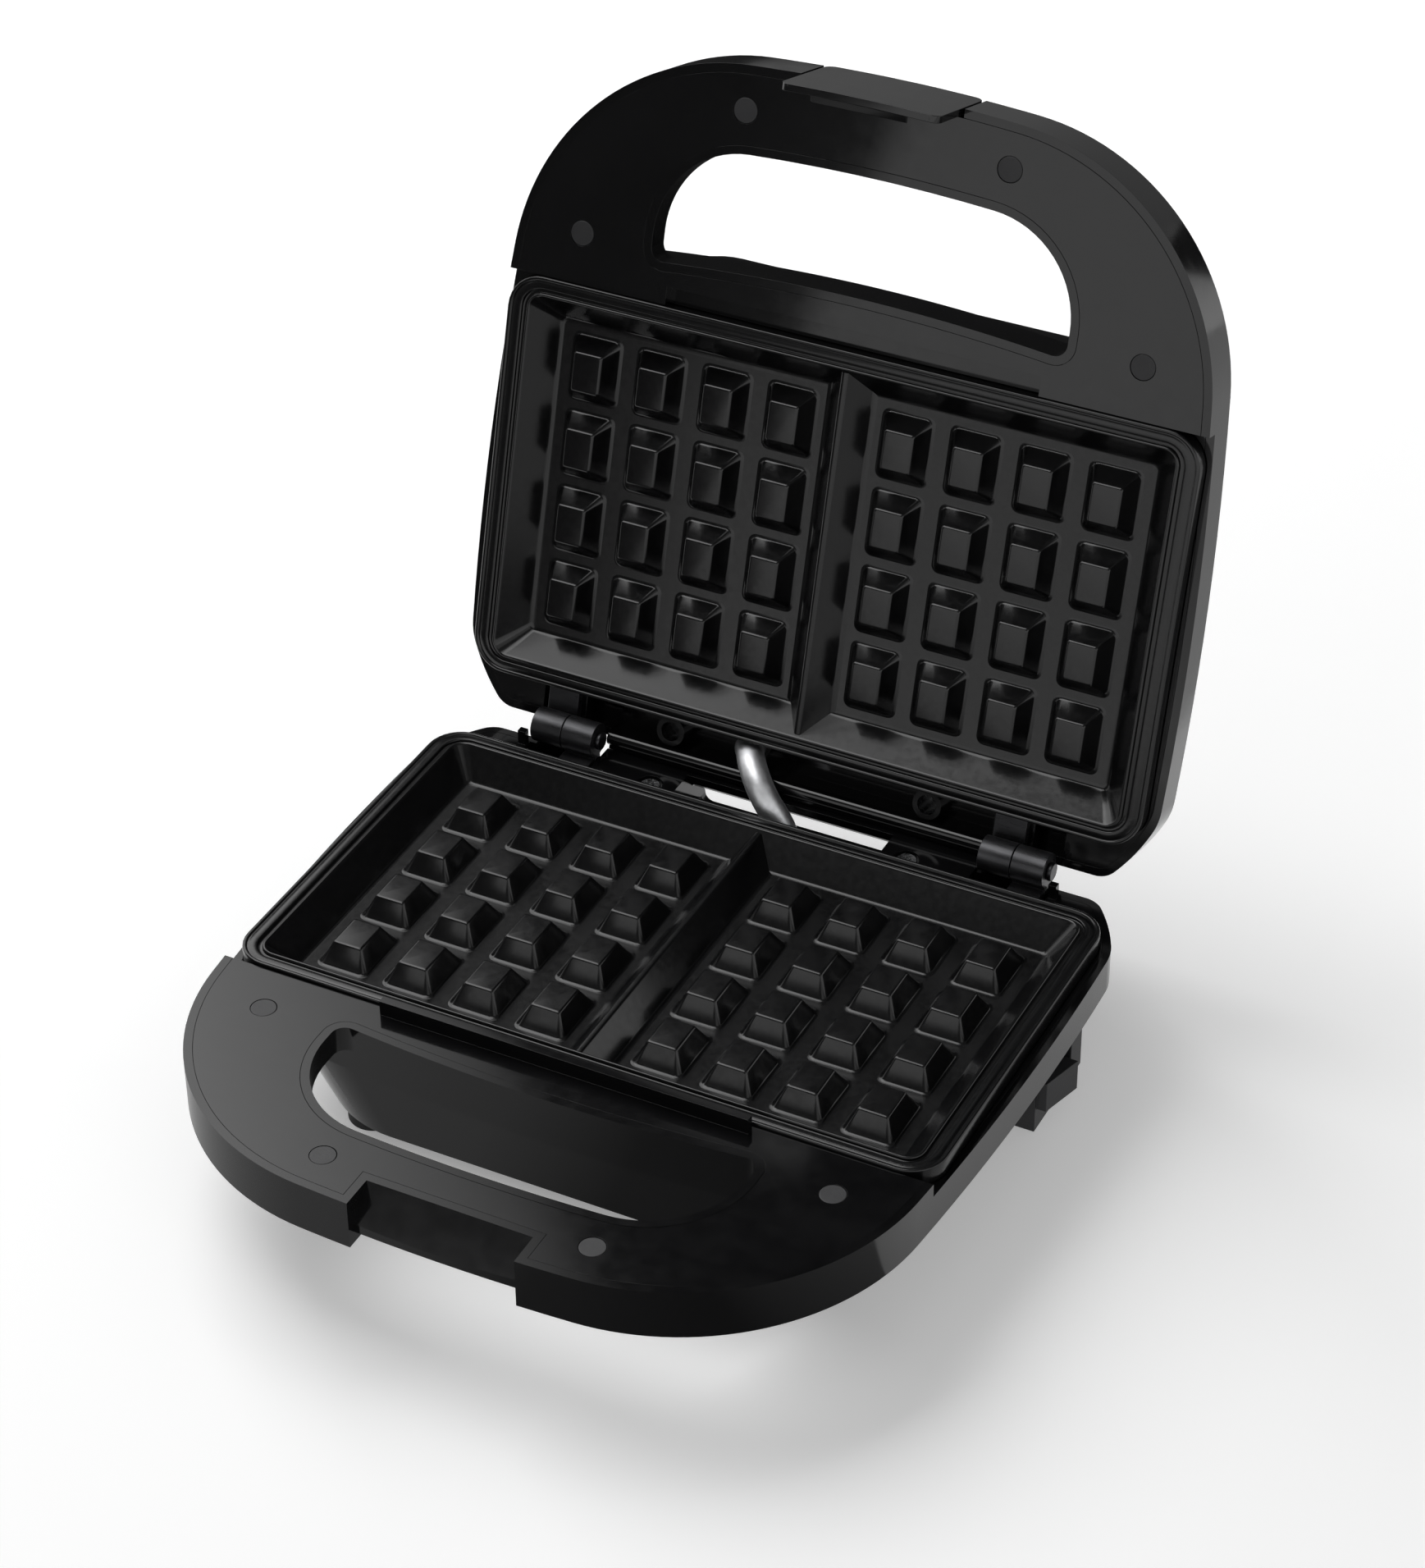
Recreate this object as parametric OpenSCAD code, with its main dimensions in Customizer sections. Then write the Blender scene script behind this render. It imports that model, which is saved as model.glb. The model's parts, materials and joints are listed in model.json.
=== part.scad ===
// Two-slice waffle maker, drawn with its lid folded back on its stop.
// X runs to the right, Y to the rear and Z up.
// Both halves are drawn as the base lies: x = y = 0 is the middle of the plate
// and z = 0 the floor of its wells.  as_base() and as_lid() put them in place,
// and the lid is the base's twin, mirrored over the plane between the rims.

/* [Waffle plates] */
// Pitch of the pegs from left to right
peg_pitch_x = 22; // [18:0.5:28]
// Pitch of the pegs from front to rear
peg_pitch_y = 24.4; // [21:0.2:30]
// Number of peg rows each way in one waffle
peg_rows = 4; // [3:1:5]
// Width of a peg's flat top
peg_top_x = 9.2; // [6:0.2:11]
// Depth of a peg's flat top
peg_top_y = 11.9; // [8:0.2:13]
// Width of a peg at the floor
peg_foot_x = 15.6; // [12:0.2:17]
// Depth of a peg at the floor
peg_foot_y = 20.1; // [14:0.2:20.8]
// Height of the pegs
peg_h = 6.6; // [4:0.2:8]
// Depth of a well from the rim's top
well_depth = 9.35; // [8.5:0.05:11.5]
// How far a well's wall leans out over its depth
well_lean = 7.4; // [5:0.1:9]
// Floor left beside the outer pegs
floor_margin_x = 4.85; // [2:0.05:8]
// Floor left in front of and behind the outer pegs
floor_margin_y = 3.95; // [2:0.05:8]
// Half the width of the divider between the wells at the floor
divider_foot = 6.2; // [5:0.1:9]
// Drop from the rim to the top of the divider
divider_drop = 0.9; // [0.5:0.1:2]
// Width of the flat rim beside the wells
rim_side = 7.4; // [7:0.1:10]
// Width of the flat rim in front of and behind the wells
rim_front = 5.9; // [5.5:0.1:8]
// Corner radius of the plate's outer edge
plate_r = 11; // [8:0.5:14]
// Thickness of the cast plate
plate_t = 2.5; // [2:0.1:3.5]

/* [Housing] */
// Shell beside the plate at the widest place
side_margin = 4.4; // [4.2:0.1:10]
// Reach of the handle in front of the plate
handle_reach = 77.9; // [72:0.1:92]
// Shell behind the plate beside the hinges
rear_margin = 12.8; // [12:0.1:14]
// Wall thickness of the outer shells
wall = 2.6; // [2.2:0.1:2.8]
// Drop from the rim to the top face of the handle
panel_drop = 1.1; // [0.6:0.1:1.8]
// Drop from the rim to the ledge beside the plate
ledge_drop = 5.6; // [5:0.1:6.4]
// Height of the upright band along the sides
band_h = 11.45; // [10:0.05:14]
// Depth of the bowl below the well floor
bowl_depth = 33.5; // [31:0.5:40]
// Height of the feet
feet_h = 5; // [4:0.5:10]
// Radius of the front edge, seen from above
front_r = 640; // [500:10:900]
// Radius of the two front corners
corner_r = 75.25; // [60:0.25:80]
// Radius of the bowed sides
side_r = 951; // [800:1:1200]
// Distance behind the plate's middle where the sides are widest
side_y = 18; // [10:1:25]

/* [Handle] */
// Half the width of the hand hole
hole_half_w = 67; // [55:0.5:70]
// Distance from the front edge to the hand hole
hole_front = 26.2; // [24:0.1:32]
// Distance from the plate to the hand hole
hole_rear = 16; // [14:0.1:20]
// Front corner radius of the hand hole
hole_r = 30; // [15:1:31]
// Depth of the collar around the hand hole
collar_h = 8.25; // [7:0.05:10]
// Half the width of the latch notch
notch_half_w = 25.85; // [20:0.05:30]
// Depth of the latch notch from the front edge
notch_d = 11.1; // [10:0.1:13]
// Diameter of the screw plugs in the handle
plug_d = 7.7; // [7:0.1:9]

/* [Hinge and latch] */
// Angle between the closed and the open lid
lid_open = 106.1; // [100:0.1:106.1]
// Distance of the hinge axis behind the plate
hinge_back = 13; // [12.8:0.1:14]
// Gap between the closed rims
rim_gap = 0.4; // [0.3:0.05:0.8]
// Outside diameter of the hinge barrels
barrel_d = 11; // [9:0.25:11.2]
// Diameter of the hinge pins
pin_d = 4; // [3:0.1:5]
// Distance of the joint between two knuckles from the middle
knuckle_x = 76; // [74:0.25:77]
// Length of a hinge knuckle
knuckle_w = 10.6; // [8:0.2:11]
// Radial clearance of the pins in their bores
pin_fit = 0.05; // [0.03:0.01:0.1]
// Thickness of the latch lever
lever_t = 2.2; // [2:0.1:2.5]
// Half the width of the latch lever
lever_half_w = 25; // [18:0.1:25.2]

/* [Power lead between the halves] */
// Outside diameter of the spring conduit
conduit_d = 8.7; // [6:0.1:9]

/* [Hidden] */
$fn = 72;
slit = 0.15;

// plates
peg_span_x = (peg_rows - 1) * peg_pitch_x + peg_foot_x;
peg_span_y = (peg_rows - 1) * peg_pitch_y + peg_foot_y;
floor_x = divider_foot + peg_span_x + 2 * floor_margin_x;
floor_y = peg_span_y / 2 + floor_margin_y;
bank_x = (divider_foot + floor_x) / 2;
well_x = floor_x + well_lean;
well_y = floor_y + well_lean;
plate_x = well_x + rim_side;
plate_y = well_y + rim_front;
divider_z = well_depth - divider_drop;
well_r = 4.4;
rim_t = 3.6;
tub_low = 3.6;
tub_high = 6.7;
tub_z = 2;
ridge_half_w = 0.8;
skirt_t = 1.8;
bead_w = 1.1;
boss_r = 3;
screw_r = 1.5;
screw_fit = 0.05;
plate_screw = [well_x + 2.4, floor_y * 0.6];

// seen from above: the arcs of the outline, kept for every inset
front_y = -(plate_y + handle_reach);
rear_y = plate_y + rear_margin;
half_w = plate_x + side_margin;
front_c = [0, front_y + front_r];
side_c = [half_w - side_r, side_y];
corner_c = circle_cross(front_c, front_r - corner_r, side_c, side_r - corner_r);
// the rear corner is three arcs, which meet where their normals turn so far
rear_r = [20, 64, 8];
rear_turn = [24, 40];
side_end = asin((rear_y - rear_r[2] - side_y - (rear_r[0] - rear_r[1]) * sin(rear_turn[0])
    - (rear_r[1] - rear_r[2]) * sin(rear_turn[1])) / (side_r - rear_r[0]));
rear_c1 = side_c + (side_r - rear_r[0]) * unit(side_end);
rear_c2 = rear_c1 + (rear_r[0] - rear_r[1]) * unit(rear_turn[0]);
rear_c3 = rear_c2 + (rear_r[1] - rear_r[2]) * unit(rear_turn[1]);

// levels of the housing
panel_z = well_depth - panel_drop;
ledge_z = well_depth - ledge_drop;
band_z = ledge_z - band_h;
bowl_z = -bowl_depth;
stand_h = bowl_depth + feet_h;
step_t = 2.2;
bowl_step = 5;
bowl_taper = 20;
bowl_r = 45;
bowl_floor_r = 36;
bowl_front = 10.1;
bowl_floor_front = 7.9;

// hand hole, latch notch and panel
panel_t = 2.4;
panel_rear = plate_y + 0.25;
hole_y = -(plate_y + hole_rear);
hole_rear_c = [0, hole_y + front_r];
hole_side_r = 4;
hole_edge_r = front_r - hole_front;
hole_corner_c = [hole_half_w - hole_r,
    front_c[1] - sqrt(pow(hole_edge_r - hole_r, 2) - pow(hole_half_w - hole_r, 2))];
hole_side_c = [hole_half_w - hole_side_r,
    hole_rear_c[1] - sqrt(pow(front_r + hole_side_r, 2) - pow(hole_half_w - hole_side_r, 2))];
hole_end = heading(hole_side_c - hole_rear_c);
web_z = panel_z - collar_h;
web_t = 2;
notch_y = front_y + notch_d;
nose_y = front_y + 2.5;
nose_edge_z = -1.7;
nose_lip_z = -4;
nose_t = 2.2;

// screws and plugs
plug_places = [[half_w - 26.4, -(plate_y + 15.8)], [41.9, front_y + 14.8]];
plug_t = 2.2;
plug_r = plug_d / 2;
cup_r = plug_r + 1.8;
cup_seat = 1.6;
cup_low = 2.6;
head_r = 3;
head_t = 1.8;
post_r = 4.2;
post_z = -6.5;
shelf_screw = [43.5, plate_y + 5.5];
shelf_drop = 3.5;
shelf_cup = 2.1;

// guard strip on the base and its recess in the lid
strip_half_w = 58.7;
strip_back = 1.4;
strip_t = 2.5;
strip_h = 4.95;
recess_half_w = strip_half_w + 1.8;
recess_front = strip_back + strip_t + 2.1;
recess_z = panel_z - 3.6;

// frame under the plate
seat_z = 1.6;
frame_t = 3.2;
frame_lip = 8.8;
frame_lip_y = 7.4;
shelf_z = ledge_z + 1.05;
shelf_t = 2.3;

// hinge
hinge_y = plate_y + hinge_back;
hinge_z = well_depth + rim_gap / 2;
stop_gap = 0.14;
stop_a = lid_open / 2;
barrel_r = barrel_d / 2;
pin_r = pin_d / 2;
knuckle_gap = 0.15;
panel_rear_half = plate_x - 2;
leaf_z = 1.2;
leaf_t = 3;
leaf_y = hinge_y - 11.2;
leaf_screw_y = hinge_y - 8;
seat_low = -3.5;
pin_over = 1.6;

// tail behind the plate, which carries the lead's window
tail_half_w = 64;
tail_y = plate_y + 26.3;
tail_low_y = plate_y + 20;
tail_low_z = -24;
lid_shelf_z = -6;
bay_half_w = 35;
bay_y = plate_y + 2.7;
bay_z = -13;
bay_rear = plate_y + 14.6;
window_top = 1;
window_r = 3;
bay_wall = 2.4;

// latch
latch_pin = [front_y + 5.8, -2];
latch_pin_r = 1.5;
latch_ear_r = 3.1;
latch_ear_x = 18;
latch_ear_t = 2.6;
latch_gap = 0.35;
lever_y = front_y;
lever_top = -8.8;
lever_end = 2 * hinge_z - nose_lip_z + 2.2;
lever_corner = 3;
hook_z = 2 * hinge_z - nose_lip_z + 0.35;
hook_half_w = 15;
hook_reach = 2.3;
spring_r = 2.4;
spring_wire = 0.5;

// heating
heater_r = 3.25;
heater_z = -plate_t - heater_r;
heater_x = floor_x * 0.72;
heater_front = -floor_y * 0.7;
heater_rear = floor_y * 0.72;
heater_bend = 14;
terminal_x = 24;
terminal_l = 14;
tray_t = 0.6;
tray_z = heater_z - heater_r - 5;
tray_x = floor_x - 2;
tray_y = floor_y - 3;
tray_wall = 4;
tray_stud = [38, 0];
sensor_place = [0, -6];
sensor_r = 8;

// feet
pad_r = 8;
pad_place = [68, -(plate_y - 4)];
rear_pad_place = [52, plate_y + 10];
wrap_front = 18;
wrap_rear = 53;
wrap_out = half_w - 7.7;
wrap_in = wrap_out - 14;
wrap_bar_z = -31;
gland_x = -48;
gland_z = -16;
gland_r = 5.5;
lamp_place = [12, -46];
lamp_r = 4.5;
lamp_z = bowl_z + wall;

// power lead
lead_r = conduit_d / 2;
lead_y = plate_y + 8.5;
lead_x_base = 2;
lead_x_lid = -18.5;
lead_lid_y = plate_y + 5;
bush_t = 0.6;
lead_bend = 10;
lead_low_z = bay_z + 0.5;
lead_steps = 5;

// middle of the open object, from its front edge to the far corner of the lid
far_lid = max(opened([front_y, band_z])[0], opened([-(plate_y + bowl_floor_front), bowl_z])[0]);
centre_y = (front_y + far_lid) / 2;

// ---------------------------------------------------------------- functions

function unit(a) = [cos(a), sin(a)];
function heading(v) = atan2(v[1], v[0]);
function arc(c, r, a0, a1, n) = [for (i = [0:n]) c + r * unit(a0 + (a1 - a0) * i / n)];
function reversed(p) = [for (i = [len(p) - 1:-1:0]) p[i]];
function flipped(p) = [for (q = p) [-q[0], q[1]]];
function both_sides(p) = concat(p, reversed(flipped([for (q = p) if (q[0] > slit) q])));
// where a circle about c1 crosses one about c2, on the right of the way from c2 to c1
function circle_cross(c1, r1, c2, r2) =
    let (d = norm(c2 - c1))
    let (u = (c2 - c1) / d)
    let (x = (r1 * r1 - r2 * r2 + d * d) / (2 * d))
    let (h = sqrt(r1 * r1 - x * x))
    c1 + x * u + h * [-u[1], u[0]];

// outline of the housing, drawn in by t all round
function outline(t) = both_sides(concat(
    arc(front_c, front_r - t, -90, heading(corner_c - front_c), 10),
    arc(corner_c, corner_r - t, heading(corner_c - front_c), heading(corner_c - side_c), 30),
    arc(side_c, side_r - t, heading(corner_c - side_c), side_end, 12),
    arc(rear_c1, rear_r[0] - t, side_end, rear_turn[0], 6),
    arc(rear_c2, rear_r[1] - t, rear_turn[0], rear_turn[1], 6),
    arc(rear_c3, rear_r[2] - t, rear_turn[1], 90, 10)));

// outline of the hand hole, grown by g all round
function hand_hole(g) = both_sides(concat(
    arc(front_c, hole_edge_r + g, -90, heading(hole_corner_c - front_c), 8),
    arc(hole_corner_c, hole_r + g, heading(hole_corner_c - front_c), 0, 16),
    arc(hole_side_c, hole_side_r + g, 0, heading(hole_rear_c - hole_side_c), 8),
    arc(hole_rear_c, front_r - g, hole_end, -90, 10)));

// y of the folded-back stop face at height z, t inside it
function stop_y(z, t) = hinge_y + (hinge_z - z) / tan(stop_a) - (stop_gap + t) / sin(stop_a);
function stop_z(y, t) = hinge_z - (y - hinge_y) * tan(stop_a) - (stop_gap + t) / cos(stop_a);
// a point (y, z) of the lid's way of drawing, where it lies with the lid open
function opened(p) = [
    hinge_y + (p[0] - hinge_y) * cos(2 * stop_a) - (p[1] - hinge_z) * sin(2 * stop_a),
    hinge_z - (p[0] - hinge_y) * sin(2 * stop_a) - (p[1] - hinge_z) * cos(2 * stop_a)];

// ends of one half's knuckle of the hinge at h, which lies on the side of way
function knuckle_span(h, way) = [h + way * knuckle_gap, h + way * knuckle_w];
function leaf_middle(h, way) = h + way * (knuckle_w + knuckle_gap) / 2;

// ------------------------------------------------------------------ placing

module as_base() {
    translate([0, -centre_y, stand_h])
        children();
}

module as_lid() {
    as_base()
        translate([0, hinge_y, hinge_z])
            rotate([-lid_open, 0, 0])
                mirror([0, 0, 1])
                    translate([0, -hinge_y, -hinge_z])
                        children();
}

module left_and_right() {
    children();
    mirror([1, 0, 0])
        children();
}

module four_corners() {
    left_and_right() {
        children();
        mirror([0, 1, 0])
            children();
    }
}

// ------------------------------------------------------------------- shapes

// prism between the levels z0 and z1
module prism(z0, z1) {
    translate([0, 0, z0])
        linear_extrude(z1 - z0)
            children();
}

// profile given in Y and Z, drawn out to x0..x1
module across(x0, x1) {
    translate([x0, 0, 0])
        rotate([90, 0, 90])
            linear_extrude(x1 - x0)
                children();
}

module block(x0, x1, y0, y1, z0, z1) {
    translate([x0, y0, z0])
        cube([x1 - x0, y1 - y0, z1 - z0]);
}

// rectangle of half sides hx, hy with round corners
module round_rect(hx, hy, r) {
    square([2 * hx, 2 * (hy - r)], center = true);
    square([2 * (hx - r), 2 * hy], center = true);
    for (sx = [-1, 1], sy = [-1, 1])
        translate([sx * (hx - r), sy * (hy - r)])
            circle(r);
}

module drum(place, r, z0, z1) {
    translate([place[0], place[1], z0])
        cylinder(r = r, h = z1 - z0);
}

// rod along X about (y, z)
module rod(y, z, r, x0, x1) {
    translate([x0, y, z])
        rotate([0, 90, 0])
            cylinder(r = r, h = x1 - x0);
}

// screw with a pan head whose underside is at z = 0, pointing down
module pan_screw(length) {
    cylinder(r = head_r, h = head_t);
    translate([0, 0, -length])
        cylinder(r = screw_r, h = length + slit);
}

// ------------------------------------------------------------------- plates

// space of one well, from its floor up past the rim
module well_space() {
    over = 1.2;
    top = well_depth * over;
    lean = well_lean * over;
    ridge_lean = (divider_foot - ridge_half_w) * top / divider_z;
    points = [
        [divider_foot, -floor_y, 0], [floor_x, -floor_y, 0],
        [floor_x, floor_y, 0], [divider_foot, floor_y, 0],
        [divider_foot - ridge_lean, -floor_y - lean, top], [floor_x + lean, -floor_y - lean, top],
        [floor_x + lean, floor_y + lean, top], [divider_foot - ridge_lean, floor_y + lean, top]];
    sides = [[0, 1, 2, 3], [4, 5, 1, 0], [5, 6, 2, 1], [6, 7, 3, 2], [7, 4, 0, 3], [7, 6, 5, 4]];
    polyhedron(points, sides);
}

module peg() {
    foot = [peg_foot_x / 2, peg_foot_y / 2];
    top = [peg_top_x / 2, peg_top_y / 2];
    corners = [[-1, -1], [1, -1], [1, 1], [-1, 1]];
    points = concat([for (c = corners) [c[0] * foot[0], c[1] * foot[1], 0]],
        [for (c = corners) [c[0] * top[0], c[1] * top[1], peg_h]]);
    sides = [[0, 1, 2, 3], [4, 5, 1, 0], [5, 6, 2, 1], [6, 7, 3, 2], [7, 4, 0, 3], [7, 6, 5, 4]];
    polyhedron(points, sides);
}

module pegs() {
    middle = (peg_rows - 1) / 2;
    for (side = [-1, 1], i = [0:peg_rows - 1], j = [0:peg_rows - 1])
        translate([side * bank_x + (i - middle) * peg_pitch_x, (j - middle) * peg_pitch_y, 0])
            peg();
}

// groove in the rim between two insets from its outer edge
module rim_groove(inset0, inset1, depth) {
    for_y = rim_front / rim_side;
    for_r = (plate_r - well_r) / rim_side;
    difference() {
        prism(well_depth - depth, well_depth + 1)
            round_rect(plate_x - inset0, plate_y - inset0 * for_y, plate_r - inset0 * for_r);
        prism(well_depth - depth - 1, well_depth + 2)
            round_rect(plate_x - inset1, plate_y - inset1 * for_y, plate_r - inset1 * for_r);
    }
}

// cast plate with two wells, a beaded rim and a skirt that stands on the frame
module waffle_plate() {
    difference() {
        union() {
            prism(well_depth - rim_t, well_depth)
                round_rect(plate_x, plate_y, plate_r);
            difference() {
                prism(seat_z, well_depth)
                    round_rect(plate_x, plate_y, plate_r);
                prism(seat_z - 1, well_depth - 1)
                    round_rect(plate_x - skirt_t, plate_y - skirt_t, plate_r - skirt_t);
            }
            prism(-plate_t, well_depth - 1)
                round_rect(floor_x + tub_low, floor_y + tub_low, 3);
            prism(tub_z, well_depth - 1)
                round_rect(floor_x + tub_high, floor_y + tub_high, 5);
            four_corners()
                drum(plate_screw, boss_r, seat_z, well_depth - 1);
            left_and_right()
                drum(tray_stud, boss_r, tray_z + tray_t, -plate_t + 1);
            heater_ribs();
        }
        left_and_right()
            well_space();
        block(-2 * ridge_half_w, 2 * ridge_half_w, -well_y + 1.2, well_y - 1.2, divider_z,
            well_depth + 1);
        rim_groove(bead_w + 0.4, bead_w + 0.9, 0.5);
        rim_groove(4.6, 6.2, 1.2);
        four_corners()
            drum(plate_screw, screw_r + screw_fit, seat_z - 1, well_depth - 2.2);
        left_and_right()
            drum(tray_stud, screw_r + screw_fit, tray_z - 1, -plate_t - 2);
    }
    pegs();
}

// ribs that are pressed over the heater's long runs
module heater_ribs() {
    rib_t = 1.6;
    near = heater_r + 0.1;
    left_and_right()
        for (x = [heater_x - near - rib_t, heater_x + near])
            block(x, x + rib_t, heater_front + heater_bend, heater_rear - heater_bend,
                heater_z - 0.5, -plate_t + 1);
}

module plate_screws() {
    four_corners()
        translate([plate_screw[0], plate_screw[1], seat_z - frame_t])
            rotate([180, 0, 0])
                pan_screw(frame_t + 5);
}

// ------------------------------------------------------------------ heating

// tubular heater: a loop open at the rear, whose two ends turn in
module heater() {
    left_and_right() {
        translate([heater_x, heater_front + heater_bend, heater_z])
            rotate([-90, 0, 0])
                cylinder(r = heater_r, h = heater_rear - heater_front - 2 * heater_bend);
        translate([heater_x - heater_bend, heater_front + heater_bend, heater_z])
            rotate([0, 0, -90])
                quarter_bend();
        translate([heater_x - heater_bend, heater_rear - heater_bend, heater_z])
            quarter_bend();
        rod(heater_rear, heater_z, heater_r, terminal_x, heater_x - heater_bend);
        rod(heater_rear, heater_z, screw_r, terminal_x - terminal_l, terminal_x);
    }
    rod(heater_front, heater_z, heater_r, heater_bend - heater_x, heater_x - heater_bend);
}

module quarter_bend() {
    rotate_extrude(angle = 90)
        translate([heater_bend, 0])
            circle(heater_r);
}

// sheet-metal tray under the heater, screwed to the plate's two studs
module reflector() {
    difference() {
        prism(tray_z, tray_z + tray_wall)
            round_rect(tray_x, tray_y, 6);
        prism(tray_z + tray_t, tray_z + tray_wall + 1)
            round_rect(tray_x - tray_t, tray_y - tray_t, 6 - tray_t);
        left_and_right()
            drum(tray_stud, screw_r + 0.2, tray_z - 1, tray_z + 1);
        drum(sensor_place, sensor_r + 2.5, tray_z - 1, tray_z + 1);
    }
}

module reflector_screws() {
    left_and_right()
        translate([tray_stud[0], tray_stud[1], tray_z])
            rotate([180, 0, 0])
                pan_screw(7);
}

// bimetal switch that is pressed to the back of the plate, with two blades
module sensor(height) {
    drum(sensor_place, sensor_r, -plate_t - height, -plate_t);
    for (side = [-1, 1])
        block(sensor_place[0] + side * 4 - 0.4, sensor_place[0] + side * 4 + 0.4,
            sensor_place[1] - 3, sensor_place[1] + 3, -plate_t - height - 7, -plate_t - height);
}

// ------------------------------------------------------------------- shells

// everything behind the hand hole's rear edge, drawn in by t
module body_column(t) {
    prism(-60, 30)
        polygon(both_sides(concat(
            arc(hole_rear_c, front_r - t, -90, hole_end, 10),
            arc(hole_rear_c, front_r - t, hole_end, -79, 8),
            [[front_r * 0.2, 2 * rear_y]])));
}

module bowl_slab(t, z, inset, front, r) {
    hx = half_w - inset - t;
    y0 = -(plate_y + front) + t;
    y1 = rear_y - 2.5 - inset * 0.2 - t;
    translate([0, (y0 + y1) / 2, z])
        linear_extrude(0.1)
            round_rect(hx, (y1 - y0) / 2, r - t);
}

// bowl below the band, drawn in by t
module bowl(t) {
    intersection() {
        hull() {
            bowl_slab(t, band_z, bowl_step, bowl_front, bowl_r);
            bowl_slab(t, bowl_z + t, bowl_taper + bowl_step, bowl_floor_front, bowl_floor_r);
        }
        body_column(t);
    }
}

// tail that carries the stop face, up to the level top, drawn in by t
module tail(t, top, cover) {
    start = plate_y - 10;
    across(t - tail_half_w, tail_half_w - t)
        polygon([[start, cover], [stop_y(top, t), cover], [stop_y(top, t), top],
            [tail_y - t, stop_z(tail_y - t, t)], [tail_y - t, tail_low_z],
            [tail_low_y - t, bowl_z + t], [start, bowl_z + t]]);
}

// one moulded shell: band, handle channel, bowl and tail up to the level tail_top
module half_shell(tail_top, way) {
    difference() {
        union() {
            difference() {
                union() {
                    difference() {
                        prism(band_z, panel_z)
                            polygon(outline(0));
                        block(-half_w, half_w, -panel_rear, rear_y + 1, ledge_z, panel_z + 1);
                    }
                    bowl(0);
                    tail(0, tail_top, tail_top);
                }
                body_space();
                bowl(wall);
                bowl_throat();
                tail(wall, tail_top, tail_top + 9);
                handle_space();
            }
            notch_liner();
            plug_posts();
            hinge_seats(way);
            shelf_posts(tail_top);
        }
        prism(-60, 30)
            polygon(hand_hole(0));
        block(-notch_half_w, notch_half_w, front_y - 5, notch_y, band_z - 5, panel_z + 1);
        panel_seat(way);
        prism(seat_z - slit, panel_z + 1)
            plate_clear();
        block(-tail_half_w - slit, tail_half_w + slit, plate_y, tail_y + 1, tail_top, panel_z + 1);
        for (h = [-knuckle_x, knuckle_x])
            block(min(knuckle_span(h, way)) - 0.2, max(knuckle_span(h, way)) + 0.2, leaf_y - 0.6,
                rear_y + 1, leaf_z, ledge_z + 1);
        left_and_right()
            for (p = plug_places)
                drum(p, screw_r + screw_fit, post_z + 1, 20);
        for (h = [-knuckle_x, knuckle_x])
            drum([leaf_middle(h, way), leaf_screw_y], screw_r + 0.15, seat_low - 1, leaf_z + 1);
        left_and_right()
            drum(shelf_screw, screw_r + screw_fit, tail_top - shelf_drop - 11, 20);
    }
}

module body_space() {
    intersection() {
        prism(band_z + step_t, panel_z + 1)
            polygon(outline(wall));
        body_column(wall);
    }
}

// way from the bowl up through the band's step
module bowl_throat() {
    intersection() {
        hull() {
            bowl_slab(wall, band_z, bowl_step, bowl_front, bowl_r);
            bowl_slab(wall, band_z + step_t, bowl_step, bowl_front, bowl_r);
        }
        body_column(wall);
    }
}

// room in the handle over its web, and the open underside below it
module handle_space() {
    difference() {
        prism(web_z + web_t, panel_z + 1)
            polygon(outline(wall));
        body_column(0);
        prism(-60, 30)
            polygon(hand_hole(wall));
    }
    difference() {
        prism(band_z - 1, web_z)
            polygon(outline(wall));
        body_column(0);
    }
}

// room for the handle's panel inside its raised border, which goes round the
// notch on the base alone
module panel_seat(way) {
    difference() {
        prism(panel_z - panel_t, panel_z + 1)
            polygon(outline(wall));
        block(-half_w, half_w, -panel_rear, rear_y, 0, panel_z + 2);
        prism(-60, 30)
            polygon(hand_hole(wall));
        if (way > 0)
            block(-notch_half_w - wall, notch_half_w + wall, front_y - 5, notch_y + wall, 0, 20);
    }
}

// outline of the plate with a slit round it
module plate_clear() {
    round_rect(plate_x + slit + 0.1, plate_y + slit + 0.1, plate_r + slit);
}

module notch_liner() {
    intersection() {
        prism(band_z, panel_z)
            polygon(outline(0));
        block(-notch_half_w - wall, notch_half_w + wall, front_y - 5, notch_y + wall,
            band_z, panel_z);
    }
}

module plug_posts() {
    left_and_right()
        for (p = plug_places)
            drum(p, post_r, post_z, web_z + web_t + 0.6);
}

module shelf_posts(top) {
    left_and_right()
        drum(shelf_screw, post_r, bowl_z + 1, top - shelf_drop);
}

// blocks under the hinges' leaves, grown out of the rear wall
module hinge_seats(way) {
    for (h = [-knuckle_x, knuckle_x])
        intersection() {
            block(min(knuckle_span(h, way)) - 1.5, max(knuckle_span(h, way)) + 1.5, leaf_y - 0.3,
                rear_y - 0.2, seat_low, leaf_z);
            prism(seat_low, leaf_z)
                polygon(outline(0));
        }
}

// walls of the bay behind the plate, open above and through the rear window
module bay_walls(top) {
    difference() {
        intersection() {
            block(-bay_half_w - bay_wall, bay_half_w + bay_wall, bay_y - bay_wall, tail_y,
                bay_z - bay_wall, top);
            tail(0, top, top);
        }
        bay_space(top);
    }
}

module bay_space(top) {
    intersection() {
        block(-bay_half_w, bay_half_w, bay_y, tail_y, bay_z, top + 1);
        tail(wall, top, top + 9);
    }
}

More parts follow.
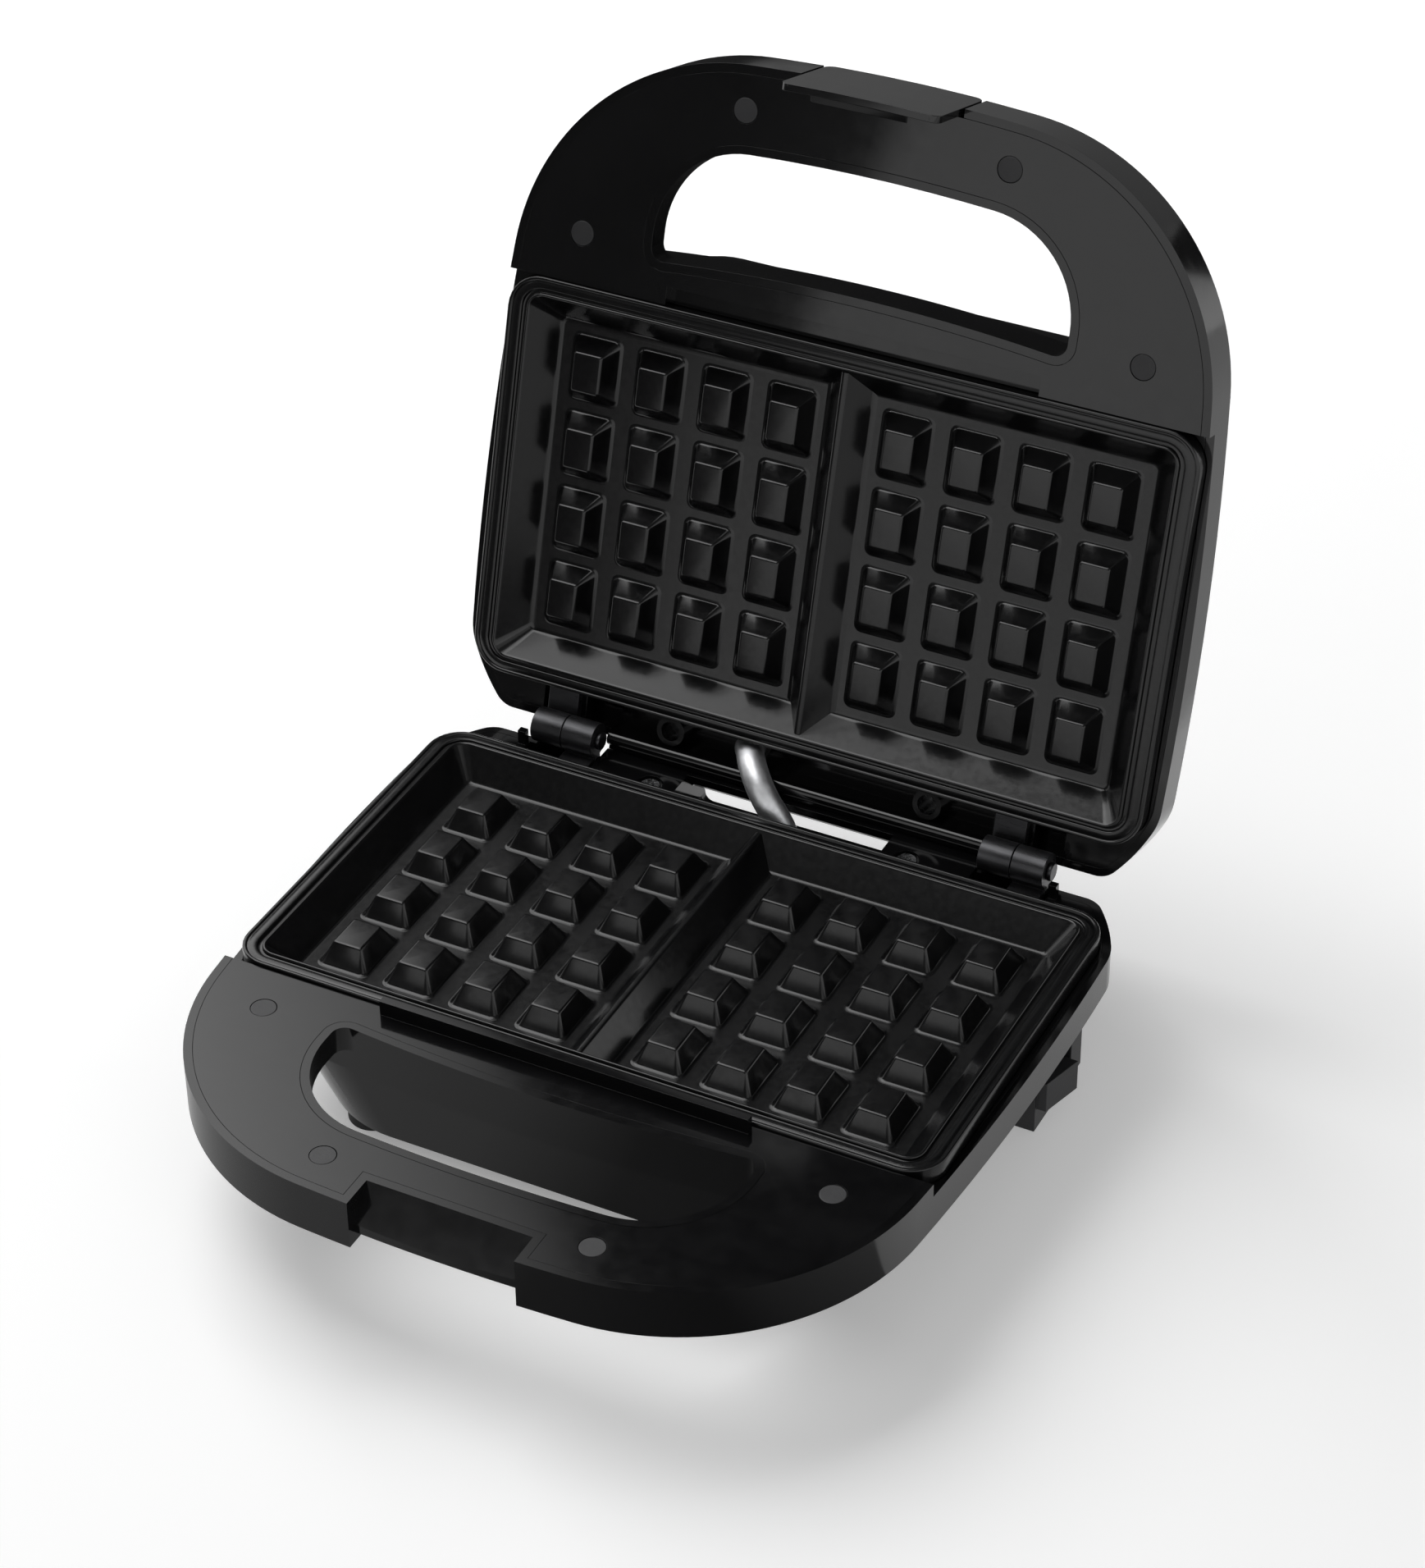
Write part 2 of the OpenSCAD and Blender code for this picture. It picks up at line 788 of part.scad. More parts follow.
module rear_window() {
    height = window_top - bay_z - 1;
    translate([0, tail_y + 5, bay_z + 1 + height / 2])
        rotate([90, 0, 0])
            linear_extrude(tail_y + 5 - bay_y - 3)
                round_rect(bay_half_w, height / 2, window_r);
}

// sloping nose that the latch's hook catches under
module catch_nose() {
    intersection() {
        across(-notch_half_w, notch_half_w)
            polygon([[notch_y + 1, panel_z], [notch_y, panel_z], [nose_y, nose_edge_z],
                [nose_y, nose_lip_z], [nose_y + nose_t, nose_lip_z],
                [nose_y + nose_t, nose_edge_z + 0.6], [notch_y + 1, panel_z - 3.6]]);
        prism(nose_lip_z - 1, panel_z + 1)
            polygon(outline(lever_t + latch_gap));
    }
}

module base_shell() {
    top = shelf_z - shelf_t;
    color("#1b1b1c")
        as_base() {
            difference() {
                union() {
                    half_shell(top, 1);
                    bay_walls(top);
                }
                rear_window();
                drum([lead_x_base, lead_y], 3, bay_z - 5, bay_z + 1);
                translate([gland_x, tail_y - 10, gland_z])
                    rotate([-90, 0, 0])
                        cylinder(r = gland_r + screw_fit, h = 20);
                for (p = [pad_place, rear_pad_place])
                    left_and_right()
                        drum(p, 2, bowl_z - 1, bowl_z + 5);
            }
            catch_nose();
        }
}

module lid_shell() {
    color("#1b1b1c")
        as_lid() {
            difference() {
                half_shell(lid_shelf_z, -1);
                left_and_right()
                    drum(lamp_place, lamp_r + 0.1, bowl_z - 1, bowl_z + wall + 1);
            }
            latch_brackets();
        }
}

// ears of the lid that hold the latch's pin
module latch_brackets() {
    difference() {
        left_and_right() {
            rod(latch_pin[0], latch_pin[1], latch_ear_r, latch_ear_x + latch_ear_t + 0.4,
                latch_ear_x + 2 * latch_ear_t + 0.4);
            block(latch_ear_x + latch_ear_t + 0.4, latch_ear_x + 2 * latch_ear_t + 0.4,
                latch_pin[0], notch_y + 0.5, latch_pin[1] - latch_ear_r,
                latch_pin[1] + latch_ear_r);
        }
        rod(latch_pin[0], latch_pin[1], latch_pin_r + pin_fit, -notch_half_w, notch_half_w);
    }
}

// ------------------------------------------------------------------- frames

// inner frame of one half without its rear shelf: the handle's panel, the
// seat under the plate's skirt and the ledge beside the plate.  The base's panel is
// cut out round the latch notch, and the lid's covers it.
module frame_core(way) {
    fit = wall + slit;
    difference() {
        union() {
            difference() {
                prism(panel_z - panel_t, panel_z)
                    polygon(outline(fit));
                block(-half_w, half_w, -panel_rear, rear_y, -5, panel_z + 1);
            }
            seat_ring(fit);
            ledge_ring(fit);
            block(-panel_rear_half, panel_rear_half, -panel_rear - 1.9, -panel_rear,
                seat_z - 1, panel_z - 1);
            left_and_right()
                for (p = plug_places)
                    drum(p, cup_r, cup_low, panel_z - 1);
        }
        prism(-60, 30)
            polygon(hand_hole(fit));
        if (way > 0)
            block(-notch_half_w - fit, notch_half_w + fit, front_y - 5, notch_y + fit, -5, 20);
        left_and_right()
            for (p = plug_places) {
                drum(p, plug_r + 0.1, cup_low + cup_seat, panel_z + 1);
                drum(p, screw_r + 0.2, cup_low - 1, panel_z);
            }
        four_corners()
            drum(plate_screw, screw_r + 0.2, seat_z - frame_t - 1, seat_z + 1);
    }
}

// ring that carries the plate, from under its skirt inwards
module seat_ring(fit) {
    difference() {
        intersection() {
            prism(seat_z - frame_t, seat_z)
                polygon(outline(fit));
            body_column(wall + slit);
            block(-half_w, half_w, -(plate_y + 13), rear_y, -20, 20);
        }
        prism(seat_z - frame_t - 1, seat_z + 1)
            round_rect(plate_x - frame_lip, plate_y - frame_lip_y, 4);
        tail_clear();
    }
}

module ledge_ring(fit) {
    difference() {
        prism(seat_z - 0.5, ledge_z)
            polygon(outline(fit));
        prism(seat_z - 1, ledge_z + 1)
            plate_clear();
        block(-half_w, half_w, -2 * plate_y, -panel_rear, -20, 20);
        block(-half_w, half_w, front_y, -panel_rear, -20, 20);
        tail_clear();
    }
}

// room for the tail's walls and the hinge leaves
module tail_clear() {
    block(-tail_half_w, tail_half_w, plate_y - 0.3, rear_y + 20, -20, 20);
    for (h = [-knuckle_x, knuckle_x])
        block(h - knuckle_w - 1.7, h + knuckle_w + 1.7, leaf_y - 0.5, rear_y + 5, -20, 20);
}

// cheeks outside the hinges that keep the pins in
module pin_cheeks() {
    cheek_x = knuckle_x + knuckle_w + pin_over + 0.4;
    left_and_right()
        block(cheek_x, cheek_x + 2.6, hinge_y - 5.2, rear_y - wall - slit, seat_z, hinge_z - 1);
}

module base_frame() {
    low = shelf_z - shelf_t;
    color("#202021")
        as_base() {
            difference() {
                union() {
                    frame_core(1);
                    across(-tail_half_w, tail_half_w)
                        polygon([[plate_y + 0.25, low], [plate_y + 0.25, shelf_z],
                            [stop_y(shelf_z, 0), shelf_z], [stop_y(low, 0), low]]);
                    left_and_right()
                        drum(shelf_screw, post_r + 0.8, low - shelf_drop, shelf_z - 1);
                    pin_cheeks();
                    seat_link(low);
                }
                block(-bay_half_w, bay_half_w, bay_y, bay_rear, -20, 20);
                left_and_right() {
                    drum(shelf_screw, head_r + 1.1, shelf_z - shelf_cup, 20);
                    drum(shelf_screw, screw_r + 0.2, -20, 20);
                }
            }
            guard_strip();
        }
}

// web that joins the rear shelf to the seat ring
module seat_link(low) {
    near = bay_half_w + bay_wall + 0.2;
    block(-tail_half_w, tail_half_w, plate_y - 6, plate_y - 0.3, seat_z - frame_t, seat_z);
    left_and_right() {
        block(near, tail_half_w, plate_y - 1, plate_y + 1, min(low, seat_z - frame_t), seat_z);
        block(near, tail_half_w, plate_y + 0.25, plate_y + 1, seat_z - 1, max(low, seat_z));
    }
}

module guard_strip() {
    block(-strip_half_w, strip_half_w, -(plate_y + strip_back + strip_t),
        -(plate_y + strip_back), panel_z - 1, panel_z + strip_h);
}

module lid_frame() {
    bar = [hinge_y, ledge_z + 0.3];
    bar_r = 2.4;
    color("#202021")
        as_lid()
            difference() {
                union() {
                    frame_core(-1);
                    // pocket behind the guard strip's recess
                    block(-recess_half_w - 1.8, recess_half_w + 1.8,
                        -(plate_y + recess_front + 1.8), -panel_rear,
                        recess_z - 1.8, panel_z - 1);
                    across(-tail_half_w, tail_half_w)
                        polygon([[plate_y + 0.25, lid_shelf_z], [plate_y + 0.25, lid_shelf_z + 2],
                            [bar[0] - bar_r, lid_shelf_z + 2], [bar[0] - bar_r, bar[1]],
                            [stop_y(bar[1], 0), bar[1]], [stop_y(lid_shelf_z, 0), lid_shelf_z]]);
                    rod(bar[0], bar[1], bar_r, -tail_half_w, tail_half_w);
                    left_and_right()
                        drum(shelf_screw, post_r + 0.5, lid_shelf_z - shelf_drop, shelf_z);
                    seat_link(lid_shelf_z);
                }
                block(-recess_half_w, recess_half_w, -(plate_y + recess_front),
                    -plate_y + 1, recess_z, panel_z + 1);
                left_and_right() {
                    drum(shelf_screw, head_r + 0.1, lid_shelf_z - shelf_drop + 1.6, 20);
                    drum(shelf_screw, screw_r + 0.2, -20, 20);
                }
                drum([lead_x_lid, lead_lid_y], lead_r + bush_t, lid_shelf_z - 1, lid_shelf_z + 3);
            }
}

// ---------------------------------------------------------- screws and plugs

module screw_plugs() {
    left_and_right()
        for (p = plug_places)
            drum(p, plug_r, panel_z - plug_t, panel_z);
}

// the four screws under the plugs and the two through the rear shelf
module frame_screws(rear_seat) {
    left_and_right() {
        for (p = plug_places)
            translate([p[0], p[1], cup_low + cup_seat])
                pan_screw(cup_low + cup_seat - post_z - 2);
        translate([shelf_screw[0], shelf_screw[1], rear_seat])
            pan_screw(9);
    }
}

// ------------------------------------------------------------------- hinges

// knuckles whose near end is at the joint line, on the side that way points to
module hinge_knuckles(way) {
    for (h = [-knuckle_x, knuckle_x]) {
        x0 = min(knuckle_span(h, way));
        x1 = max(knuckle_span(h, way));
        difference() {
            union() {
                rod(hinge_y, hinge_z, barrel_r, x0, x1);
                block(x0, x1, leaf_y, hinge_y + 1, leaf_z, leaf_z + leaf_t);
                block(x0, x1, hinge_y - 3.2, hinge_y + 1, leaf_z + 1, hinge_z - 1);
            }
            rod(hinge_y, hinge_z, pin_r + pin_fit, x0 - 1, x1 + 1);
            drum([leaf_middle(h, way), leaf_screw_y], screw_r + screw_fit, leaf_z - 1,
                leaf_z + leaf_t - 0.8);
        }
    }
}

module hinge_pins() {
    color("#8d8f92")
        as_base()
            for (h = [-knuckle_x, knuckle_x]) {
                rod(hinge_y, hinge_z, pin_r, h - knuckle_w - 0.3, h + knuckle_w + pin_over);
                rod(hinge_y, hinge_z, pin_r + 0.9, h + knuckle_w + 0.1, h + knuckle_w + pin_over);
            }
}

module hinge_screws(way) {
    for (h = [-knuckle_x, knuckle_x])
        translate([leaf_middle(h, way), leaf_screw_y, seat_low])
            rotate([180, 0, 0])
                pan_screw(leaf_z - seat_low + 1.8);
}

// -------------------------------------------------------------------- latch

module latch_lever() {
    color("#1e1e1f")
        as_lid()
            difference() {
                union() {
                    lever_plate();
                    left_and_right() {
                        rod(latch_pin[0], latch_pin[1], latch_ear_r, latch_ear_x,
                            latch_ear_x + latch_ear_t);
                        block(latch_ear_x, latch_ear_x + latch_ear_t,
                            lever_y + lever_t - 0.2, latch_pin[0],
                            latch_pin[1] - latch_ear_r, latch_pin[1] + latch_ear_r);
                    }
                    across(-hook_half_w, hook_half_w)
                        polygon([[lever_y + lever_t - 0.3, hook_z],
                            [lever_y + lever_t + hook_reach, hook_z],
                            [lever_y + lever_t + hook_reach, hook_z + 0.5],
                            [lever_y + lever_t - 0.3, lever_end - 0.2]]);
                }
                rod(latch_pin[0], latch_pin[1], latch_pin_r + pin_fit, -notch_half_w,
                    notch_half_w);
            }
}

// curved plate of the lever, with round corners seen from the front
module lever_plate() {
    middle_z = (lever_top + lever_end) / 2;
    half_z = (lever_end - lever_top) / 2;
    outer_r = front_c[1] - lever_y;
    turn = asin(lever_half_w / outer_r) + 0.1;
    intersection() {
        prism(lever_top, lever_end)
            polygon(concat(
                arc(front_c, outer_r, -90 - turn, -90 + turn, 10),
                arc(front_c, outer_r - lever_t, -90 + turn, -90 - turn, 10)));
        translate([0, lever_y + 10, middle_z])
            rotate([90, 0, 0])
                linear_extrude(20)
                    round_rect(lever_half_w, half_z, lever_corner);
    }
}

module latch_pin() {
    color("#8d8f92")
        as_lid()
            rod(latch_pin[0], latch_pin[1], latch_pin_r,
                -latch_ear_x - 2 * latch_ear_t - 0.4, latch_ear_x + 2 * latch_ear_t + 0.4);
}

// coil around the pin, with one leg on the lever and one on the lid
module latch_spring() {
    coil_half_w = 4;
    color("#9a9b9d")
        as_lid() {
            difference() {
                rod(latch_pin[0], latch_pin[1], spring_r, -coil_half_w, coil_half_w);
                rod(latch_pin[0], latch_pin[1], latch_pin_r + 0.2, -5, 5);
            }
            block(-coil_half_w, -coil_half_w + 2 * spring_wire, lever_y + lever_t + 0.1,
                latch_pin[0], latch_pin[1] + 1.7, latch_pin[1] + 1.7 + 2 * spring_wire);
            block(coil_half_w - 2 * spring_wire, coil_half_w, latch_pin[0], notch_y - 0.1,
                latch_pin[1] + 1.7, latch_pin[1] + 1.7 + 2 * spring_wire);
        }
}

// -------------------------------------------------------- feet, gland, lamps

module front_feet() {
    color("#3a3a3a")
        as_base()
            left_and_right()
                foot_pad(pad_place);
}

module rear_feet() {
    color("#3a3a3a")
        as_base()
            left_and_right()
                foot_pad(rear_pad_place);
}

// rubber foot with a stem that snaps into the shell
module foot_pad(place) {
    drum(place, pad_r, -stand_h, bowl_z);
    drum(place, 1.9, bowl_z - 0.1, bowl_z + wall + 1);
    drum(place, 2.6, bowl_z + wall, bowl_z + wall + 1.4);
}

// side feet whose outward tabs hold the wrapped cord
module cord_wrap_feet() {
    color("#4a4a4a")
        as_base()
            left_and_right()
                difference() {
                    union() {
                        block(wrap_in, wrap_out, wrap_front, wrap_rear, -stand_h, wrap_bar_z);
                        block(wrap_in, wrap_out, wrap_front, wrap_front + 12, -stand_h, band_z);
                        block(wrap_in, wrap_out, wrap_rear - 8, wrap_rear, -stand_h, band_z);
                        prism(-30.5, -20)
                            polygon([[wrap_out - 2, wrap_front + 1], [wrap_out + 3, wrap_front + 1],
                                [wrap_out + 7, wrap_front + 15], [wrap_out + 3, wrap_front + 15],
                                [wrap_out - 2, wrap_front + 8]]);
                    }
                    bowl(-0.05);
                    block(0, half_w - bowl_step + 0.1, -half_w, half_w, band_z - 0.05, 0);
                }
}

// inlet bush for the mains lead, in the tail's rear face
module cord_gland() {
    color("#2c2c2d")
        as_base()
            translate([gland_x, tail_y, gland_z])
                rotate([90, 0, 0])
                    difference() {
                        union() {
                            cylinder(r = gland_r, h = wall + 3);
                            translate([0, 0, -1.6])
                                cylinder(r = gland_r + 1.6, h = 1.6);
                            translate([0, 0, wall])
                                cylinder(r = gland_r + 1.2, h = 1.8);
                        }
                        translate([0, 0, -3])
                            cylinder(r = 3.6, h = 20);
                    }
}

// lead's bushes: a ring on the bay's floor and one in the lid's shelf
module lead_bush(place, z0, z1, flange_z) {
    difference() {
        union() {
            drum(place, lead_r + bush_t - 0.05, z0, z1);
            drum(place, lead_r + bush_t + 0.6, flange_z, flange_z + 1);
        }
        drum(place, lead_r + 0.1, z0 - 1, z1 + 1);
    }
}

// ----------------------------------------------------------------- the lead

// the lead goes straight up out of the base, over in one bend and straight into the lid,
// and drifts sideways on its way
lead_end = opened([lead_lid_y, lid_shelf_z + 0.5]);
lead_turn = [sin(lid_open), cos(lid_open)];
lead_cross_z = lead_end[1] - (lead_end[0] - lead_y) / tan(lid_open);
lead_bend_z = lead_cross_z - lead_bend * tan(stop_a);
lead_bend_end = [lead_y + lead_bend * (1 - cos(lid_open)), lead_bend_z + lead_bend * sin(lid_open)];
function lead_yz(s) =
    s < 1 ? [lead_y, lead_low_z + (lead_bend_z - lead_low_z) * s]
    : s < 2 ? [lead_y + lead_bend * (1 - cos(lid_open * (s - 1))),
        lead_bend_z + lead_bend * sin(lid_open * (s - 1))]
    : lead_bend_end + (lead_end - lead_bend_end) * (s - 2);
function lead_x(s) = lead_x_base + (lead_x_lid - lead_x_base)
    * (1 - cos(180 * min(max(s - 0.3, 0) / 2.1, 1))) / 2;
function direction(p, i) =
    let (v = p[min(i + 1, len(p) - 1)] - p[max(i - 1, 0)]) v / norm(v);

module swept_tube(p, r, sides) {
    n = len(p);
    points = [for (i = [0:n - 1])
        let (d = direction(p, i), u = cross(d, [1, 0, 0]) / norm(cross(d, [1, 0, 0])),
            v = cross(d, u))
        for (k = [0:sides - 1]) p[i] + r * (cos(360 * k / sides) * u + sin(360 * k / sides) * v)];
    lower = [for (i = [0:n - 2], k = [0:sides - 1])
        [i * sides + k, i * sides + (k + 1) % sides, (i + 1) * sides + k]];
    upper = [for (i = [0:n - 2], k = [0:sides - 1])
        [i * sides + (k + 1) % sides, (i + 1) * sides + (k + 1) % sides, (i + 1) * sides + k]];
    ends = [[for (k = [sides - 1:-1:0]) k], [for (k = [0:sides - 1]) (n - 1) * sides + k]];
    polyhedron(points, concat(lower, upper, ends));
}

module lead_conduit() {
    line = [for (i = [0:3 * lead_steps])
        let (s = i / lead_steps) [lead_x(s), lead_yz(s)[0], lead_yz(s)[1]]];
    color("#b9babc")
        as_base()
            swept_tube(line, lead_r, 12);
}

// -------------------------------------------------------------------- nodes

module base_screw_plugs() color("#3c3c3e") as_base() screw_plugs();
module base_frame_screws() color("#b0b1b3") as_base() frame_screws(shelf_z - shelf_cup);
module lower_plate() color("#2b2b2c") as_base() waffle_plate();
module lower_plate_screws() color("#b0b1b3") as_base() plate_screws();
module lower_heater() color("#77787a") as_base() heater();
module lower_reflector() color("#c8c9cb") as_base() reflector();
module lower_reflector_screws() color("#b0b1b3") as_base() reflector_screws();
module thermostat() color("#d8d5cc") as_base() sensor(8);
module base_hinge_knuckles() color("#2f2f31") as_base() hinge_knuckles(1);
module base_hinge_screws() color("#b0b1b3") as_base() hinge_screws(1);
module base_lead_bush() color("#2c2c2d") as_base()
    lead_bush([lead_x_base, lead_y], bay_z, bay_z + 4, bay_z);
module lid_screw_plugs() color("#3c3c3e") as_lid() screw_plugs();
module lid_frame_screws() color("#b0b1b3") as_lid()
    frame_screws(lid_shelf_z - shelf_drop + 1.6);
module upper_plate() color("#2b2b2c") as_lid() waffle_plate();
module upper_plate_screws() color("#b0b1b3") as_lid() plate_screws();
module upper_heater() color("#77787a") as_lid() heater();
module upper_reflector() color("#c8c9cb") as_lid() reflector();
module upper_reflector_screws() color("#b0b1b3") as_lid() reflector_screws();
module thermal_cutout() color("#d8d5cc") as_lid() sensor(5);
module lid_hinge_knuckles() color("#2f2f31") as_lid() hinge_knuckles(-1);
module lid_hinge_screws() color("#b0b1b3") as_lid() hinge_screws(-1);
module lid_lead_bush() color("#2c2c2d") as_lid()
    lead_bush([lead_x_lid, lead_lid_y], lid_shelf_z - 1.5, lid_shelf_z + 3, lid_shelf_z + 2);

// block of three screw terminals on the bowl's floor
module terminal_block() {
    color("#e6e2d8")
        as_base()
            translate([-42, 22, bowl_z + wall]) {
                difference() {
                    cube([30, 18, 12]);
                    for (i = [0:2])
                        translate([5 + 10 * i, 9, 5])
                            cylinder(r = 2.2, h = 8);
                }
            }
}

// two signal lamps behind lenses in the lid's top
module lamp_holders() {
    color("#d8d5cc")
        as_lid()
            left_and_right()
                difference() {
                    drum(lamp_place, lamp_r + 1.5, lamp_z + 1.2, lamp_z + 12);
                    drum(lamp_place, lamp_r - 1, lamp_z, lamp_z + 9);
                }
}

module lamp_lenses() {
    color("#a8322a")
        as_lid()
            left_and_right() {
                drum(lamp_place, lamp_r, bowl_z - 0.6, lamp_z + 0.1);
                drum(lamp_place, lamp_r + 1.5, lamp_z, lamp_z + 1.2);
            }
}

base_shell();
base_frame();
base_screw_plugs();
base_frame_screws();
lower_plate();
lower_plate_screws();
lower_heater();
lower_reflector();
lower_reflector_screws();
thermostat();
terminal_block();
front_feet();
rear_feet();
cord_wrap_feet();
base_hinge_knuckles();
hinge_pins();
base_hinge_screws();
cord_gland();
base_lead_bush();
lead_conduit();
lid_shell();
lid_frame();
lid_screw_plugs();
lid_frame_screws();
upper_plate();
upper_plate_screws();
upper_heater();
upper_reflector();
upper_reflector_screws();
thermal_cutout();
lamp_holders();
lamp_lenses();
lid_hinge_knuckles();
lid_hinge_screws();
lid_lead_bush();
latch_lever();
latch_pin();
latch_spring();
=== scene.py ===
"""Looks of an open two-slice waffle maker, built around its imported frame.

Lengths are drawn in millimetres, as the base lies: x = y = 0 is the middle of the
plate and z = 0 the floor of its wells.  The matrices BASE and LID put a mesh in
place: the lid is the base's twin, mirrored over the plane between the rims.
"""

import json
import math

import bmesh
import bpy
from mathutils import Matrix, Vector


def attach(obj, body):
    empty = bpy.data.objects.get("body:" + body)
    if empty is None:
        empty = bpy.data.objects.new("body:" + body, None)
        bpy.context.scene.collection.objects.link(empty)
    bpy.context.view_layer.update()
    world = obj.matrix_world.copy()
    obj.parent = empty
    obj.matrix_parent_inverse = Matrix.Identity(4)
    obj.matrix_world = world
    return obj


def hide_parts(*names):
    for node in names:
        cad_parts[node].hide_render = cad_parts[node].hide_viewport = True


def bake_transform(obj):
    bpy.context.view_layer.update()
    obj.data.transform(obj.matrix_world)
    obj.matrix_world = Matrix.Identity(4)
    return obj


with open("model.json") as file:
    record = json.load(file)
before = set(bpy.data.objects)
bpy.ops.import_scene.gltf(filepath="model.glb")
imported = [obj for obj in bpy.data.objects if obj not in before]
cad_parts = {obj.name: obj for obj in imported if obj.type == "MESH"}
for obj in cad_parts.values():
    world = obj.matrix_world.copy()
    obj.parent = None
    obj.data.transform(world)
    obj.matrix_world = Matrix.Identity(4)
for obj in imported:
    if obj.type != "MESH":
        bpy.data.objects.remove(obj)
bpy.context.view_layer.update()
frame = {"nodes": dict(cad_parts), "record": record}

# ---------------------------------------------------------------- sizes, in mm

# the object's middle lies this far behind the plate's, and the wells' floor this high
MIDDLE_Y = 8.849
STAND_H = 38.5
# the hinge's axis, and how far the lid is open in degrees
HINGE_Y, HINGE_Z = 76.9, 9.55
LID_OPEN = 106.1

# half the plate's sides and its corner radius, the rim's width at the sides and in
# front, the wells' corner radius and how fast it shrinks down the wall
PLATE_X, PLATE_Y, PLATE_R = 112.3, 63.9, 11.0
RIM_SIDE, RIM_FRONT, WELL_R = 7.4, 5.9, 4.4
WELL_R_LOSS = 0.3
SEAT_Z = 1.65
DIVIDER_HALF_Y = 57.2
# a well's middle, and its pegs
BANK_X = 51.85
PEG_ROWS = 4
PEG_PITCH = (22.0, 24.4)
PEG_MIDDLE = (PEG_ROWS - 1) / 2
PEG_FOOT, PEG_TOP, PEG_H = (15.6, 20.1), (9.2, 11.9), 6.6

BASE = Matrix.Scale(0.001, 4) @ Matrix.Translation((0, -MIDDLE_Y, STAND_H))
LID = (
    BASE
    @ Matrix.Translation((0, HINGE_Y, HINGE_Z))
    @ Matrix.Rotation(math.radians(-LID_OPEN), 4, "X")
    @ Matrix.Scale(-1, 4, (0, 0, 1))
    @ Matrix.Translation((0, -HINGE_Y, -HINGE_Z))
)

# ------------------------------------------------------------------- materials

# where most of a noise's values lie
NOISE_LOW, NOISE_HIGH = 0.3, 0.7


def linear(code):
    """Linear RGBA of an sRGB hex colour."""
    channels = [int(code[i : i + 2], 16) / 255 for i in (1, 3, 5)]
    return [c / 12.92 if c <= 0.04045 else ((c + 0.055) / 1.055) ** 2.4 for c in channels] + [1.0]


def add(tree, kind, values=None, links=None, **settings):
    """One node with its settings, socket values and incoming links."""
    made = tree.nodes.new(kind)
    for name, value in settings.items():
        setattr(made, name, value)
    for socket, value in (values or {}).items():
        made.inputs[socket].default_value = value
    for socket, source in (links or {}).items():
        tree.links.new(source, made.inputs[socket])
    return made


def material(name, color, roughness, metallic=0.0, **sockets):
    """An empty surface with its shader, and the tree and shader to build on."""
    made = bpy.data.materials.new(name)
    made.use_nodes = True
    made.diffuse_color = linear(color)
    tree = made.node_tree
    tree.nodes.clear()
    shader = add(tree, "ShaderNodeBsdfPrincipled", {
        "Base Color": linear(color), "Roughness": roughness, "Metallic": metallic, **sockets})
    out = add(tree, "ShaderNodeOutputMaterial", links={"Surface": shader.outputs["BSDF"]})
    out.is_active_output = True
    return made, tree, shader


def grain(tree, size_mm, detail=2.0, stretch=(1, 1, 1)):
    """Noise on object coordinates whose features are about size_mm wide."""
    place = add(tree, "ShaderNodeTexCoord")
    scale = add(tree, "ShaderNodeMapping", {"Scale": [s * 1000 / size_mm for s in stretch]},
                {"Vector": place.outputs["Object"]})
    return add(tree, "ShaderNodeTexNoise", {"Scale": 1.0, "Detail": detail},
               {"Vector": scale.outputs["Vector"]})


def spread(tree, source, low, high):
    """Maps a noise to the range low..high."""
    return add(tree, "ShaderNodeMapRange",
               {"From Min": NOISE_LOW, "From Max": NOISE_HIGH, "To Min": low, "To Max": high},
               {"Value": source}).outputs["Result"]


def mottle(tree, shader, noise, dark, light):
    """Colour that drifts between two shades with a noise."""
    ramp = add(tree, "ShaderNodeValToRGB", links={"Fac": noise.outputs["Fac"]})
    ramp.color_ramp.elements[0].position = NOISE_LOW
    ramp.color_ramp.elements[0].color = linear(dark)
    ramp.color_ramp.elements[1].position = NOISE_HIGH
    ramp.color_ramp.elements[1].color = linear(light)
    tree.links.new(ramp.outputs["Color"], shader.inputs["Base Color"])


def bump(tree, shader, height, depth_mm):
    """Relief from a height between 0 and 1, depth_mm deep."""
    made = add(tree, "ShaderNodeBump", {"Distance": depth_mm / 1000, "Strength": 1.0},
               {"Height": height})
    tree.links.new(made.outputs["Normal"], shader.inputs["Normal"])


def polished_abs():
    """ABS moulded in a polished tool: black, sharp reflections with a faint slow ripple."""
    made, tree, shader = material("ABS moulded polished black", "#0d0d0e", 0.13, IOR=1.53)
    mottle(tree, shader, grain(tree, 30), "#0b0b0c", "#101011")
    tree.links.new(spread(tree, grain(tree, 6).outputs["Fac"], 0.09, 0.13),
                   shader.inputs["Roughness"])
    bump(tree, shader, grain(tree, 9, 1.0).outputs["Fac"], 0.003)
    return made


def inner_abs():
    """The same ABS from a finer-ground tool: a little duller inside the frame."""
    made, tree, shader = material("ABS moulded polished panel black", "#101011", 0.16, IOR=1.53)
    mottle(tree, shader, grain(tree, 25), "#0e0e0f", "#131314")
    tree.links.new(spread(tree, grain(tree, 5).outputs["Fac"], 0.08, 0.12),
                   shader.inputs["Roughness"])
    bump(tree, shader, grain(tree, 8, 1.0).outputs["Fac"], 0.003)
    return made


